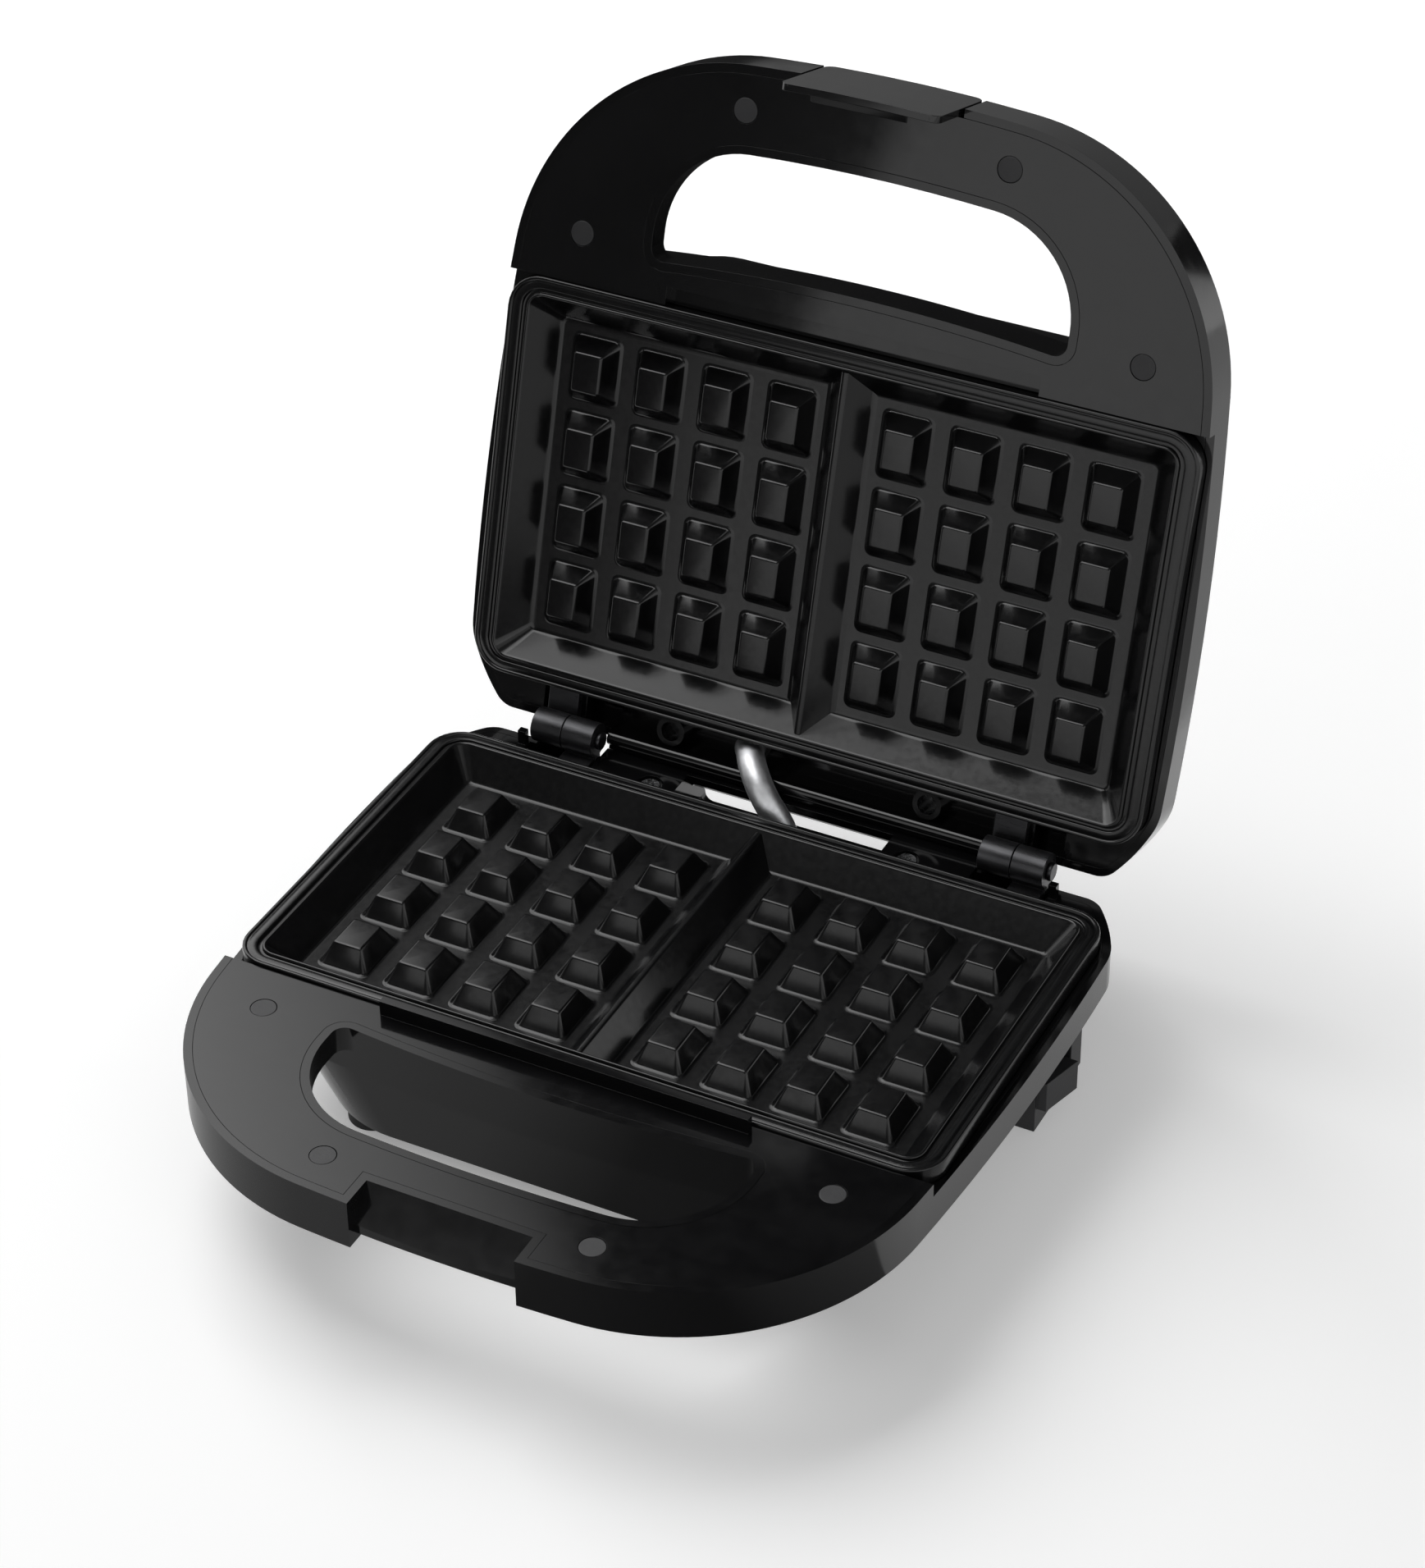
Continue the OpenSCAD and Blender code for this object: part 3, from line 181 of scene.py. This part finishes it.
def non_stick():
    """Sprayed PTFE coat on cast aluminium: satin charcoal with a fine orange peel."""
    made, tree, shader = material("PTFE sprayed on cast aluminium", "#0c0c0d", 0.2, IOR=1.5)
    mottle(tree, shader, grain(tree, 14), "#0a0a0b", "#0f0f10")
    tree.links.new(spread(tree, grain(tree, 2).outputs["Fac"], 0.16, 0.22),
                   shader.inputs["Roughness"])
    # the real peel is about 0.2 mm wide, drawn at 0.6 mm so that it shows
    bump(tree, shader, grain(tree, 0.6).outputs["Fac"], 0.0012)
    return made


def satin_steel():
    """Pressed steel with a baked black lacquer: satin, with soft drawn streaks."""
    made, tree, shader = material("steel pressed black lacquered", "#3a3a3c", 0.32, 0.7)
    mottle(tree, shader, grain(tree, 3, stretch=(0.3, 1, 1)), "#343436", "#434345")
    tree.links.new(spread(tree, grain(tree, 0.8, stretch=(0.1, 1, 1)).outputs["Fac"], 0.26, 0.4),
                   shader.inputs["Roughness"])
    return made


def oxide_steel():
    """Turned steel pins with a black oxide: dark, its tone drifting lighter and darker at random.
    """
    made, tree, shader = material("steel turned black oxide", "#3b3b3d", 0.34, 0.85)
    mottle(tree, shader, grain(tree, 1.5), "#303032", "#4a4a4c")
    return made


def bright_steel():
    """Zinc plated steel wire and screws: bright, faintly clouded."""
    made, tree, shader = material("steel drawn bright zinc", "#c9cacc", 0.24, 1.0)
    mottle(tree, shader, grain(tree, 2), "#bcbdbf", "#d3d4d6")
    tree.links.new(spread(tree, grain(tree, 1).outputs["Fac"], 0.18, 0.32),
                   shader.inputs["Roughness"])
    return made


def wound_steel():
    """Stainless strip wound into a flexible conduit: silver, with a soft rubbed sheen."""
    made, tree, shader = material("stainless strip wound", "#d6d7d9", 0.44, 1.0)
    mottle(tree, shader, grain(tree, 3), "#cbccce", "#dedfe1")
    tree.links.new(spread(tree, grain(tree, 1.2).outputs["Fac"], 0.38, 0.5),
                   shader.inputs["Roughness"])
    return made


def matte_abs():
    """ABS from a spark-eroded tool: matte dark grey with a fine even grain."""
    made, tree, shader = material("ABS moulded matte dark grey", "#1f1f21", 0.5, IOR=1.5)
    mottle(tree, shader, grain(tree, 4), "#1d1d1f", "#232325")
    # the real grain is about 0.1 mm, drawn at 0.5 mm so that it shows
    bump(tree, shader, grain(tree, 0.5).outputs["Fac"], 0.03)
    return made


def rubber():
    """Moulded nitrile rubber: dull near-black with a dusty bloom."""
    made, tree, shader = material("rubber moulded black", "#1b1b1b", 0.7, IOR=1.5)
    mottle(tree, shader, grain(tree, 5), "#181818", "#222222")
    bump(tree, shader, grain(tree, 0.8).outputs["Fac"], 0.03)
    return made


def rolled_sheet():
    """Aluminised steel sheet: bright mill finish with streaks along the roll."""
    made, tree, shader = material("steel sheet rolled aluminised", "#bfc0c2", 0.3, 1.0)
    tree.links.new(spread(tree, grain(tree, 1.5, stretch=(0.05, 1, 1)).outputs["Fac"], 0.22, 0.4),
                   shader.inputs["Roughness"])
    return made


def heater_sheath():
    """Annealed steel tube: dull grey-brown from the heat."""
    made, tree, shader = material("steel tube annealed", "#5a5550", 0.45, 0.9)
    mottle(tree, shader, grain(tree, 8), "#4f4a46", "#67625c")
    return made


def ceramic():
    """Pressed steatite: off-white, unglazed and slightly chalky."""
    made, tree, shader = material("steatite pressed unglazed", "#d8d2c4", 0.6, IOR=1.6)
    mottle(tree, shader, grain(tree, 3), "#d0cabb", "#dfdacd")
    bump(tree, shader, grain(tree, 0.7).outputs["Fac"], 0.02)
    return made


def red_lens():
    """Clear polycarbonate tinted red: glossy, with light inside it."""
    made, tree, shader = material("polycarbonate moulded red", "#9a1a14", 0.12, IOR=1.58)
    shader.inputs["Transmission Weight"].default_value = 0.3
    mottle(tree, shader, grain(tree, 3), "#8c1610", "#a8221a")
    return made


MATERIALS = {
    "housing": polished_abs(), "inner_frame": inner_abs(), "plug": matte_abs(),
    "screw": bright_steel(), "plate": non_stick(), "heater": heater_sheath(),
    "tray": rolled_sheet(), "ceramic": ceramic(), "foot": rubber(),
    "hinge": satin_steel(), "lens": red_lens(),
}
MATERIALS.update(wrap_foot=MATERIALS["plug"], pin=oxide_steel(), bush=MATERIALS["foot"],
                 conduit=wound_steel(), lever=MATERIALS["housing"])
SLOTS = {s["node"]: s["material_slot"] for s in frame["record"]["subparts"]}
BODIES = {n: b for b, nodes in frame["record"]["behaviour"]["bodies"].items() for n in nodes}

for name, piece in frame["nodes"].items():
    piece.data.materials.clear()
    piece.data.materials.append(MATERIALS[SLOTS[name]])

# ---------------------------------------------------------------- mesh helpers

# merging distance in metres, and in degrees the turn that still counts as flat, the
# turn of an edge to be rounded and the one that stays sharp on a cast plate
MERGE, FLAT_TURN, EDGE_TURN, CAST_TURN = 2e-6, 0.5, 30, 50
EDGE_SEGMENTS, FLAT_WEIGHT = 2, 80


def finish_piece(name, mesh, node, smooth=None):
    """Puts a finished mesh in the scene in place of a CAD node."""
    piece = bpy.data.objects.new(name, mesh)
    bpy.context.scene.collection.objects.link(piece)
    mesh.materials.clear()
    mesh.materials.append(MATERIALS[SLOTS[node]])
    if smooth:
        mesh.polygons.foreach_set("use_smooth", [True] * len(mesh.polygons))
        mesh.set_sharp_from_angle(angle=math.radians(smooth))
    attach(piece, BODIES[node])
    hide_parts(node)


def softened(node, width):
    """A copy of a CAD node with its edges rounded by width millimetres."""
    mesh = frame["nodes"][node].data.copy()
    work = bmesh.new()
    work.from_mesh(mesh)
    bmesh.ops.remove_doubles(work, verts=work.verts, dist=MERGE)
    bmesh.ops.dissolve_limit(work, angle_limit=math.radians(FLAT_TURN), verts=work.verts,
                             edges=work.edges)
    work.to_mesh(mesh)
    work.free()
    piece = bpy.data.objects.new(node + "_soft", mesh)
    bpy.context.scene.collection.objects.link(piece)
    bevel = piece.modifiers.new("edges", "BEVEL")
    bevel.width = width / 1000
    bevel.segments = EDGE_SEGMENTS
    bevel.limit_method = "ANGLE"
    bevel.angle_limit = math.radians(EDGE_TURN)
    bevel.miter_outer = "MITER_ARC"
    flat = piece.modifiers.new("flats", "WEIGHTED_NORMAL")
    flat.keep_sharp = True
    flat.weight = FLAT_WEIGHT
    for face in mesh.polygons:
        face.use_smooth = True
    baked = bpy.data.meshes.new_from_object(
        piece.evaluated_get(bpy.context.evaluated_depsgraph_get()))
    bpy.data.objects.remove(piece)
    finish_piece(node + "_soft", baked, node)


def loft(work, rings):
    """Joins closed rings of as many points into a skin and closes it over the last."""
    loops = [[work.verts.new(p) for p in ring] for ring in rings]
    for low, high in zip(loops, loops[1:]):
        for i in range(len(low)):
            j = (i + 1) % len(low)
            work.faces.new((low[i], low[j], high[j], high[i]))
    work.faces.new(loops[-1])


def round_rect(hx, hy, r, z, steps=8, middle=(0, 0)):
    """Ring of a rectangle with round corners, anticlockwise from above."""
    ring = []
    for k, (sx, sy) in enumerate(((1, -1), (1, 1), (-1, 1), (-1, -1))):
        for i in range(steps + 1):
            a = math.radians(90 * (k - 1) + 90 * i / steps)
            ring.append((middle[0] + sx * (hx - r) + r * math.cos(a),
                         middle[1] + sy * (hy - r) + r * math.sin(a), z))
    return ring


# --------------------------------------------------------------------- plates


def rim_ring(inset, z):
    """Ring of the plate at an inset from its outer edge, down into the wells."""
    if inset <= RIM_SIDE:
        inset_y = inset * RIM_FRONT / RIM_SIDE
        r = PLATE_R + (WELL_R - PLATE_R) * inset / RIM_SIDE
    else:
        inset_y = RIM_FRONT + inset - RIM_SIDE
        r = WELL_R - (inset - RIM_SIDE) * WELL_R_LOSS
    return round_rect(PLATE_X - inset, PLATE_Y - inset_y, r, z)


# (inset, height) round the rim: outer bead, fine groove, flat band, groove, inner bead,
# then down the well's wall into its fillet
RIM = [(0, SEAT_Z), (0, 8.8), (0.08, 9.1), (0.3, 9.3), (0.6, 9.35), (1.0, 9.35), (1.3, 9.25),
       (1.5, 8.95), (1.85, 8.95), (2.0, 9.05), (4.3, 9.05), (4.6, 8.95), (4.75, 8.6), (4.8, 8.2),
       (5.0, 8.1), (6.0, 8.1), (6.2, 8.2), (6.25, 8.7), (6.35, 9.05), (6.6, 9.3), (6.9, 9.35),
       (7.2, 9.3), (7.5, 9.05), (7.75, 8.7), (13.9, 0.95), (14.3, 0.45), (14.8, 0.12), (15.5, 0)]


def peg(work, x, y):
    """One truncated pyramid with round edges and a fillet at its foot."""
    (fx, fy), (tx, ty) = PEG_FOOT, PEG_TOP
    # (height, growth of the half sides, corner radius)
    profile = [(-0.02, 1.0, 2.6), (0.06, 0.5, 2.3), (0.25, 0.17, 2.1), (0.6, 0, 1.9)]
    profile += [(5.9, 0, 0.9), (6.25, 0.02, 0.85), (6.45, -0.08, 0.8), (6.57, -0.25, 0.7),
                (6.6, -0.5, 0.5)]
    rings = []
    for z, grow, r in profile:
        left = 1 - z / PEG_H
        hx = tx / 2 + (fx - tx) / 2 * left + grow
        hy = ty / 2 + (fy - ty) / 2 * left + grow
        rings.append(round_rect(hx, hy, r, z, 4, (x, y)))
    loft(work, rings)


def divider(work):
    """Ridge between the wells, its ends inside the walls."""
    half = [(8.4, -0.02), (7.4, 0.1), (6.75, 0.35), (6.3, 0.75), (1.25, 7.9), (0.95, 8.25),
            (0.5, 8.43)]
    line = half + [(-x, z) for x, z in reversed(half)]
    loops = [[work.verts.new((x, y, z)) for x, z in line]
             for y in (-DIVIDER_HALF_Y, DIVIDER_HALF_Y)]
    for i in range(len(line) - 1):
        work.faces.new((loops[1][i], loops[1][i + 1], loops[0][i + 1], loops[0][i]))


def waffle_plate(name, node, place):
    """Cast plate: beaded rim, two wells and their pegs."""
    work = bmesh.new()
    loft(work, [rim_ring(i, z) for i, z in RIM])
    divider(work)
    for side in (-1, 1):
        for i in range(PEG_ROWS):
            for j in range(PEG_ROWS):
                peg(work, side * BANK_X + (i - PEG_MIDDLE) * PEG_PITCH[0],
                    (j - PEG_MIDDLE) * PEG_PITCH[1])
    bmesh.ops.transform(work, matrix=place, verts=work.verts)
    if place.determinant() < 0:
        bmesh.ops.reverse_faces(work, faces=work.faces)
    mesh = bpy.data.meshes.new(name)
    work.to_mesh(mesh)
    work.free()
    finish_piece(name, mesh, node, CAST_TURN)


waffle_plate("lower_plate_cast", "lower_plate", BASE)
waffle_plate("upper_plate_cast", "upper_plate", LID)

# -------------------------------------------------------------------- housing

# (node, width of its rounded edges)
ROUNDED = [("base_shell", 0.5), ("lid_shell", 0.5), ("base_frame", 0.3), ("lid_frame", 0.3),
           ("latch_lever", 0.6), ("base_screw_plugs", 0.3), ("lid_screw_plugs", 0.3),
           ("base_hinge_knuckles", 0.35), ("lid_hinge_knuckles", 0.35), ("hinge_pins", 0.3),
           ("front_feet", 0.8), ("rear_feet", 0.8), ("cord_wrap_feet", 0.8)]

for node, width in ROUNDED:
    softened(node, width)

# ------------------------------------------------------------ lead's conduit

# where the lead rises and how far it moves across on its way, its low end and bend
# radius, and where it enters the lid, as the base lies
LEAD_Y, LEAD_X0, LEAD_X1 = 72.4, 2.0, -18.5
LEAD_LOW, LEAD_BEND = -12.5, 10.0
LEAD_LID_Y, LEAD_LID_Z = 68.9, -5.5
# in thirds of the line: where it starts to move across, and over what length
DRIFT_FROM, DRIFT_OVER = 0.3, 2.1
# steps along the line, whose middle third is its bend
LEAD_STEPS = 60
CONDUIT_R = 4.35
# the real turns are about 0.45 mm apart, drawn at 0.9 mm so that they show
TURN_PITCH, TURN_DEPTH, CONDUIT_SIDES = 0.9, 0.06, 32


def lead_line():
    """Middle line of the conduit: up out of the base, over in one bend, into the lid."""
    turn = math.radians(LID_OPEN)
    rise, fall = math.sin(turn), math.cos(turn)
    end_y = HINGE_Y + (LEAD_LID_Y - HINGE_Y) * fall - (LEAD_LID_Z - HINGE_Z) * rise
    end_z = HINGE_Z - (LEAD_LID_Y - HINGE_Y) * rise - (LEAD_LID_Z - HINGE_Z) * fall
    bend_z = end_z - (end_y - LEAD_Y) / math.tan(turn) - LEAD_BEND * math.tan(turn / 2)
    past_y = LEAD_Y + LEAD_BEND * (1 - fall)
    past_z = bend_z + LEAD_BEND * rise
    line = []
    for i in range(LEAD_STEPS + 1):
        s = 3 * i / LEAD_STEPS
        drift = (1 - math.cos(math.pi * min(max(s - DRIFT_FROM, 0) / DRIFT_OVER, 1))) / 2
        x = LEAD_X0 + (LEAD_X1 - LEAD_X0) * drift
        if s < 1:
            y, z = LEAD_Y, LEAD_LOW + (bend_z - LEAD_LOW) * s
        elif s < 2:
            a = turn * (s - 1)
            y, z = LEAD_Y + LEAD_BEND * (1 - math.cos(a)), bend_z + LEAD_BEND * math.sin(a)
        else:
            y = past_y + (end_y - past_y) * (s - 2)
            z = past_z + (end_z - past_z) * (s - 2)
        line.append(BASE @ Vector((x, y, z)))
    return line


def wound_tube():
    """Geometry Nodes tree: a close wound tube of round turns along a curve."""
    tree = bpy.data.node_groups.new("wound tube", "GeometryNodeTree")
    face = tree.interface
    face.new_socket("Line", in_out="INPUT", socket_type="NodeSocketGeometry")
    ids = {}
    for label, kind in (("Radius", "NodeSocketFloat"), ("Turn pitch", "NodeSocketFloat"),
                        ("Turn depth", "NodeSocketFloat"), ("Sides", "NodeSocketInt"),
                        ("Finish", "NodeSocketMaterial")):
        ids[label] = face.new_socket(label, in_out="INPUT", socket_type=kind).identifier
    face.new_socket("Tube", in_out="OUTPUT", socket_type="NodeSocketGeometry")
    given = add(tree, "NodeGroupInput")
    step = add(tree, "ShaderNodeMath", {1: 4.0}, {0: given.outputs["Turn pitch"]},
               operation="DIVIDE")
    line = add(tree, "GeometryNodeResampleCurve", links={"Curve": given.outputs["Line"],
                                                         "Length": step.outputs[0]},
               mode="LENGTH")
    index = add(tree, "GeometryNodeInputIndex")
    angle = add(tree, "ShaderNodeMath", {1: math.pi / 2}, {0: index.outputs[0]},
                operation="MULTIPLY")
    wave = add(tree, "ShaderNodeMath", links={0: angle.outputs[0]}, operation="COSINE")
    deep = add(tree, "ShaderNodeMath", {1: 1.0}, {0: wave.outputs[0]}, operation="SUBTRACT")
    swell = add(tree, "ShaderNodeMath", links={0: deep.outputs[0],
                                               1: given.outputs["Turn depth"]},
                operation="MULTIPLY")
    radius = add(tree, "ShaderNodeMath", {1: 1.0}, {0: swell.outputs[0]}, operation="ADD")
    line = add(tree, "GeometryNodeSetCurveRadius", links={"Curve": line.outputs["Curve"],
                                                          "Radius": radius.outputs[0]})
    ring = add(tree, "GeometryNodeCurvePrimitiveCircle",
               links={"Radius": given.outputs["Radius"], "Resolution": given.outputs["Sides"]})
    tube = add(tree, "GeometryNodeCurveToMesh", {"Fill Caps": True},
               {"Curve": line.outputs["Curve"], "Profile Curve": ring.outputs["Curve"]})
    whole = add(tree, "GeometryNodeRealizeInstances", links={0: tube.outputs["Mesh"]})
    done = add(tree, "GeometryNodeSetMaterial", links={"Geometry": whole.outputs[0],
                                                       "Material": given.outputs["Finish"]})
    add(tree, "NodeGroupOutput", links={0: done.outputs["Geometry"]})
    return tree, ids


def conduit():
    """Wound metal conduit between the halves, bent for the lid at its open angle."""
    line = lead_line()
    data = bpy.data.curves.new("lead_line", "CURVE")
    data.dimensions = "3D"
    spline = data.splines.new("POLY")
    spline.points.add(len(line) - 1)
    for point, place in zip(spline.points, line):
        point.co = (*place, 1)
    piece = bpy.data.objects.new("lead_line", data)
    bpy.context.scene.collection.objects.link(piece)
    tree, ids = wound_tube()
    wind = piece.modifiers.new("winding", "NODES")
    wind.node_group = tree
    for label, value in (("Radius", CONDUIT_R / 1000), ("Turn pitch", TURN_PITCH / 1000),
                         ("Turn depth", TURN_DEPTH), ("Sides", CONDUIT_SIDES),
                         ("Finish", MATERIALS["conduit"])):
        wind[ids[label]] = value
    mesh = bpy.data.meshes.new_from_object(
        piece.evaluated_get(bpy.context.evaluated_depsgraph_get()))
    bpy.data.objects.remove(piece)
    mesh.name = "wound_conduit"
    made = bpy.data.objects.new("wound_conduit", mesh)
    bpy.context.scene.collection.objects.link(made)
    mesh.materials.clear()
    mesh.materials.append(MATERIALS["conduit"])
    mesh.polygons.foreach_set("use_smooth", [True] * len(mesh.polygons))
    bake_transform(made)
    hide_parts("lead_conduit")


conduit()

# --------------------------------------------------------------------- studio

# strengths of the floor's glow and the room's white, and of the light that the room gives
FLOOR_GLOW, ROOM_WHITE, ROOM_LIGHT = 0.28, 1.0, 0.25
FLOOR_R, FLOOR_SIDES = 6, 96


def seen_ray(tree):
    """1 for rays that the eye follows: straight, mirrored or passed through."""
    ray = add(tree, "ShaderNodeLightPath")
    seen = add(tree, "ShaderNodeMath", links={0: ray.outputs["Is Camera Ray"],
                                              1: ray.outputs["Is Glossy Ray"]},
               operation="MAXIMUM")
    return add(tree, "ShaderNodeMath", links={0: seen.outputs[0],
                                              1: ray.outputs["Is Transmission Ray"]},
               operation="MAXIMUM").outputs[0]


def floor_material():
    """White sweep: shows as white, and still takes the object's shadow."""
    made, tree, shader = material("paper sweep white", "#f4f4f4", 0.9)
    seen = seen_ray(tree)
    glow = add(tree, "ShaderNodeEmission", {"Strength": FLOOR_GLOW})
    both = add(tree, "ShaderNodeAddShader", links={0: shader.outputs["BSDF"],
                                                   1: glow.outputs["Emission"]})
    mix = add(tree, "ShaderNodeMixShader", links={0: seen, 1: shader.outputs["BSDF"],
                                                  2: both.outputs["Shader"]})
    out = next(n for n in tree.nodes if n.type == "OUTPUT_MATERIAL")
    tree.links.new(mix.outputs["Shader"], out.inputs["Surface"])
    return made


def white_room():
    """World that is white to look at and in reflections, and lights softly."""
    world = bpy.data.worlds.new("white room")
    world.use_nodes = True
    bpy.context.scene.world = world
    tree = world.node_tree
    tree.nodes.clear()
    seen = seen_ray(tree)
    white = add(tree, "ShaderNodeBackground", {"Color": (1, 1, 1, 1), "Strength": ROOM_WHITE})
    lit = add(tree, "ShaderNodeBackground", {"Color": (1, 1, 1, 1), "Strength": ROOM_LIGHT})
    mix = add(tree, "ShaderNodeMixShader", links={0: seen, 1: lit.outputs[0],
                                                  2: white.outputs[0]})
    add(tree, "ShaderNodeOutputWorld", links={"Surface": mix.outputs["Shader"]})


def studio():
    """White floor and room, with colours shown as they are."""
    bpy.context.scene.view_settings.view_transform = "Standard"
    bpy.ops.mesh.primitive_circle_add(vertices=FLOOR_SIDES, radius=FLOOR_R, fill_type="NGON")
    floor = bpy.context.object
    floor.name = "floor"
    floor.data.materials.append(floor_material())
    white_room()


def area_light(name, place, aim, size, power):
    """Soft square lamp that points at a spot."""
    data = bpy.data.lights.new(name, "AREA")
    data.shape = "RECTANGLE"
    data.size, data.size_y = size
    data.energy = power
    lamp = bpy.data.objects.new(name, data)
    lamp.location = place
    lamp.rotation_euler = (Vector(aim) - Vector(place)).to_track_quat("-Z", "Y").to_euler()
    bpy.context.scene.collection.objects.link(lamp)


def card(name, corners, stops, strength):
    """Card that shows in reflections alone, shaded from left to right by its stops."""
    mesh = bpy.data.meshes.new(name)
    mesh.from_pydata(corners, [], [(0, 1, 2, 3)])
    across = mesh.uv_layers.new(name="across")
    for loop, u in zip(across.data, (0, 1, 1, 0)):
        loop.uv = (u, 0.5)
    made = bpy.data.materials.new(name)
    made.use_nodes = True
    tree = made.node_tree
    tree.nodes.clear()
    place = add(tree, "ShaderNodeUVMap", uv_map="across")
    split = add(tree, "ShaderNodeSeparateXYZ", links={0: place.outputs["UV"]})
    ramp = add(tree, "ShaderNodeValToRGB", links={"Fac": split.outputs["X"]})
    while len(ramp.color_ramp.elements) < len(stops):
        ramp.color_ramp.elements.new(0.5)
    for element, (at, level) in zip(ramp.color_ramp.elements, stops):
        element.position = at
        element.color = (level, level, level, 1)
    glow = add(tree, "ShaderNodeEmission", {"Strength": strength},
               {"Color": ramp.outputs["Color"]})
    add(tree, "ShaderNodeOutputMaterial", links={"Surface": glow.outputs["Emission"]})
    made_card = bpy.data.objects.new(name, mesh)
    mesh.materials.append(made)
    for kind in ("camera", "diffuse", "shadow", "transmission", "volume_scatter"):
        setattr(made_card, "visible_" + kind, False)
    bpy.context.scene.collection.objects.link(made_card)


# the camera's turn about the upright, height over the table and roll in degrees; its
# distance from the plate's middle to its right, up and back, in peg pitches; and its
# focal length and frame height in pixels, and its sensor in mm
CAMERA_TURN = (27.289, 36.154, -0.704)
CAMERA_PLACE = (0.5394, 2.3564, 55.759)
FOCAL_PX, FRAME_PX, SENSOR = 5100, 1911, 36


def camera():
    """Camera in front and to the right of the object, at its fitted place and lens."""
    az, el, roll = map(math.radians, CAMERA_TURN)
    back = Vector((math.sin(az) * math.cos(el), -math.cos(az) * math.cos(el), math.sin(el)))
    right = Vector((math.cos(az), math.sin(az), 0))
    up = back.cross(right)
    x = math.cos(roll) * right + math.sin(roll) * up
    y = -math.sin(roll) * right + math.cos(roll) * up
    aside, above, away = CAMERA_PLACE
    spot = PEG_PITCH[0] * (aside * x + above * y + away * back)
    data = bpy.data.cameras.new("camera")
    data.lens = FOCAL_PX * SENSOR / FRAME_PX
    data.clip_end = 50
    eye = bpy.data.objects.new("camera", data)
    turn = Matrix((x, y, back)).transposed().to_4x4()
    eye.matrix_world = Matrix.Translation(BASE @ spot) @ turn
    bpy.context.scene.collection.objects.link(eye)
    bpy.context.scene.camera = eye


# name, place and spot aimed at in metres, sides in metres, power in watts
LAMPS = [
    ("key", (-1.6, 0.75, 2.0), (0, 0, 0.05), (2.1, 2.1), 56),
    ("fill", (1.9, -1.2, 1.9), (0, 0, 0.1), (1.6, 1.6), 4),
]

# light and dark cards, which the polished faces mirror: name, corners in metres (along
# one edge from left to right, back along the other), stops (place across, level), strength
CARDS = [
    ("card_behind",
     [(-1.02, -0.144, 0.725), (0.78, 0.656, 0.725),
      (0.244, 1.206, 0.509), (-1.556, 0.406, 0.509)],
     [(0.0, 1.0), (0.41, 1.0), (0.47, 0.5), (0.499, 0.2), (0.501, 0.0), (1.0, 0.0)],
     2.1),
    # card_front_left, card_floor and card_floor_right are painted shadow: dark sheets standing
    # for the floor's shade round the object, seen in reflections alone
    ("card_front_left",
     [(-0.80, -0.10, 0.36), (-0.115, -0.235, 0.36),
      (-0.225, -0.30, 0.004), (-0.90, -0.16, 0.004)],
     [(0.0, 0.4), (0.45, 0.12), (0.9, 0.06), (1.0, 0.15)],
     1.0),
    ("card_floor",
     [(-0.5, -0.08, 0.004), (0.28, -0.08, 0.004), (0.28, -0.6, 0.004), (-0.5, -0.6, 0.004)],
     [(0.0, 0.03), (0.40, 0.05), (0.47, 0.5), (0.6, 0.35), (0.66, 0.12), (0.78, 0.06),
      (0.86, 0.3), (1.0, 0.3)],
     1.0),
    ("card_floor_right",
     [(0.16, -0.3, 0.004), (1.3, -0.3, 0.004), (1.3, 0.9, 0.004), (0.16, 0.9, 0.004)],
     [(0.0, 0.55), (1.0, 0.4)],
     1.0),
    ("card_back",
     [(-0.3, 0.27, 0.238), (0.15, 0.27, 0.238), (0.15, 0.27, 0.03), (-0.3, 0.27, 0.03)],
     [(0.0, 0.02), (1.0, 0.02)],
     1.0),
    ("card_back_high",
     [(-0.3, 0.27, 0.33), (0.15, 0.27, 0.33), (0.15, 0.27, 0.2385), (-0.3, 0.27, 0.2385)],
     [(0.0, 0.2), (1.0, 0.2)],
     1.0),
    ("card_low_back",
     [(-1.2, 0.75, 0.62), (0.2, 0.75, 0.62), (0.2, 0.75, 0.0), (-1.2, 0.75, 0.0)],
     [(0.0, 0.03), (0.55, 0.05), (0.66, 0.12), (0.76, 0.5), (1.0, 0.5)],
     1.0),
    ("card_sky",
     [(-4, -4, 2.6), (4, -4, 2.6), (4, 4, 2.6), (-4, 4, 2.6)],
     [(0.0, 0.12), (1.0, 0.12)],
     1.0),
    ("card_top",
     [(-1.3, -0.7, 1.4), (0.1, -0.7, 1.4), (0.1, 0.18, 1.4), (-1.3, 0.18, 1.4)],
     [(0.0, 1.0), (0.8, 0.8), (1.0, 0.3)],
     4.0),
]

camera()
studio()
for lamp in LAMPS:
    area_light(*lamp)
for sheet in CARDS:
    card(*sheet)
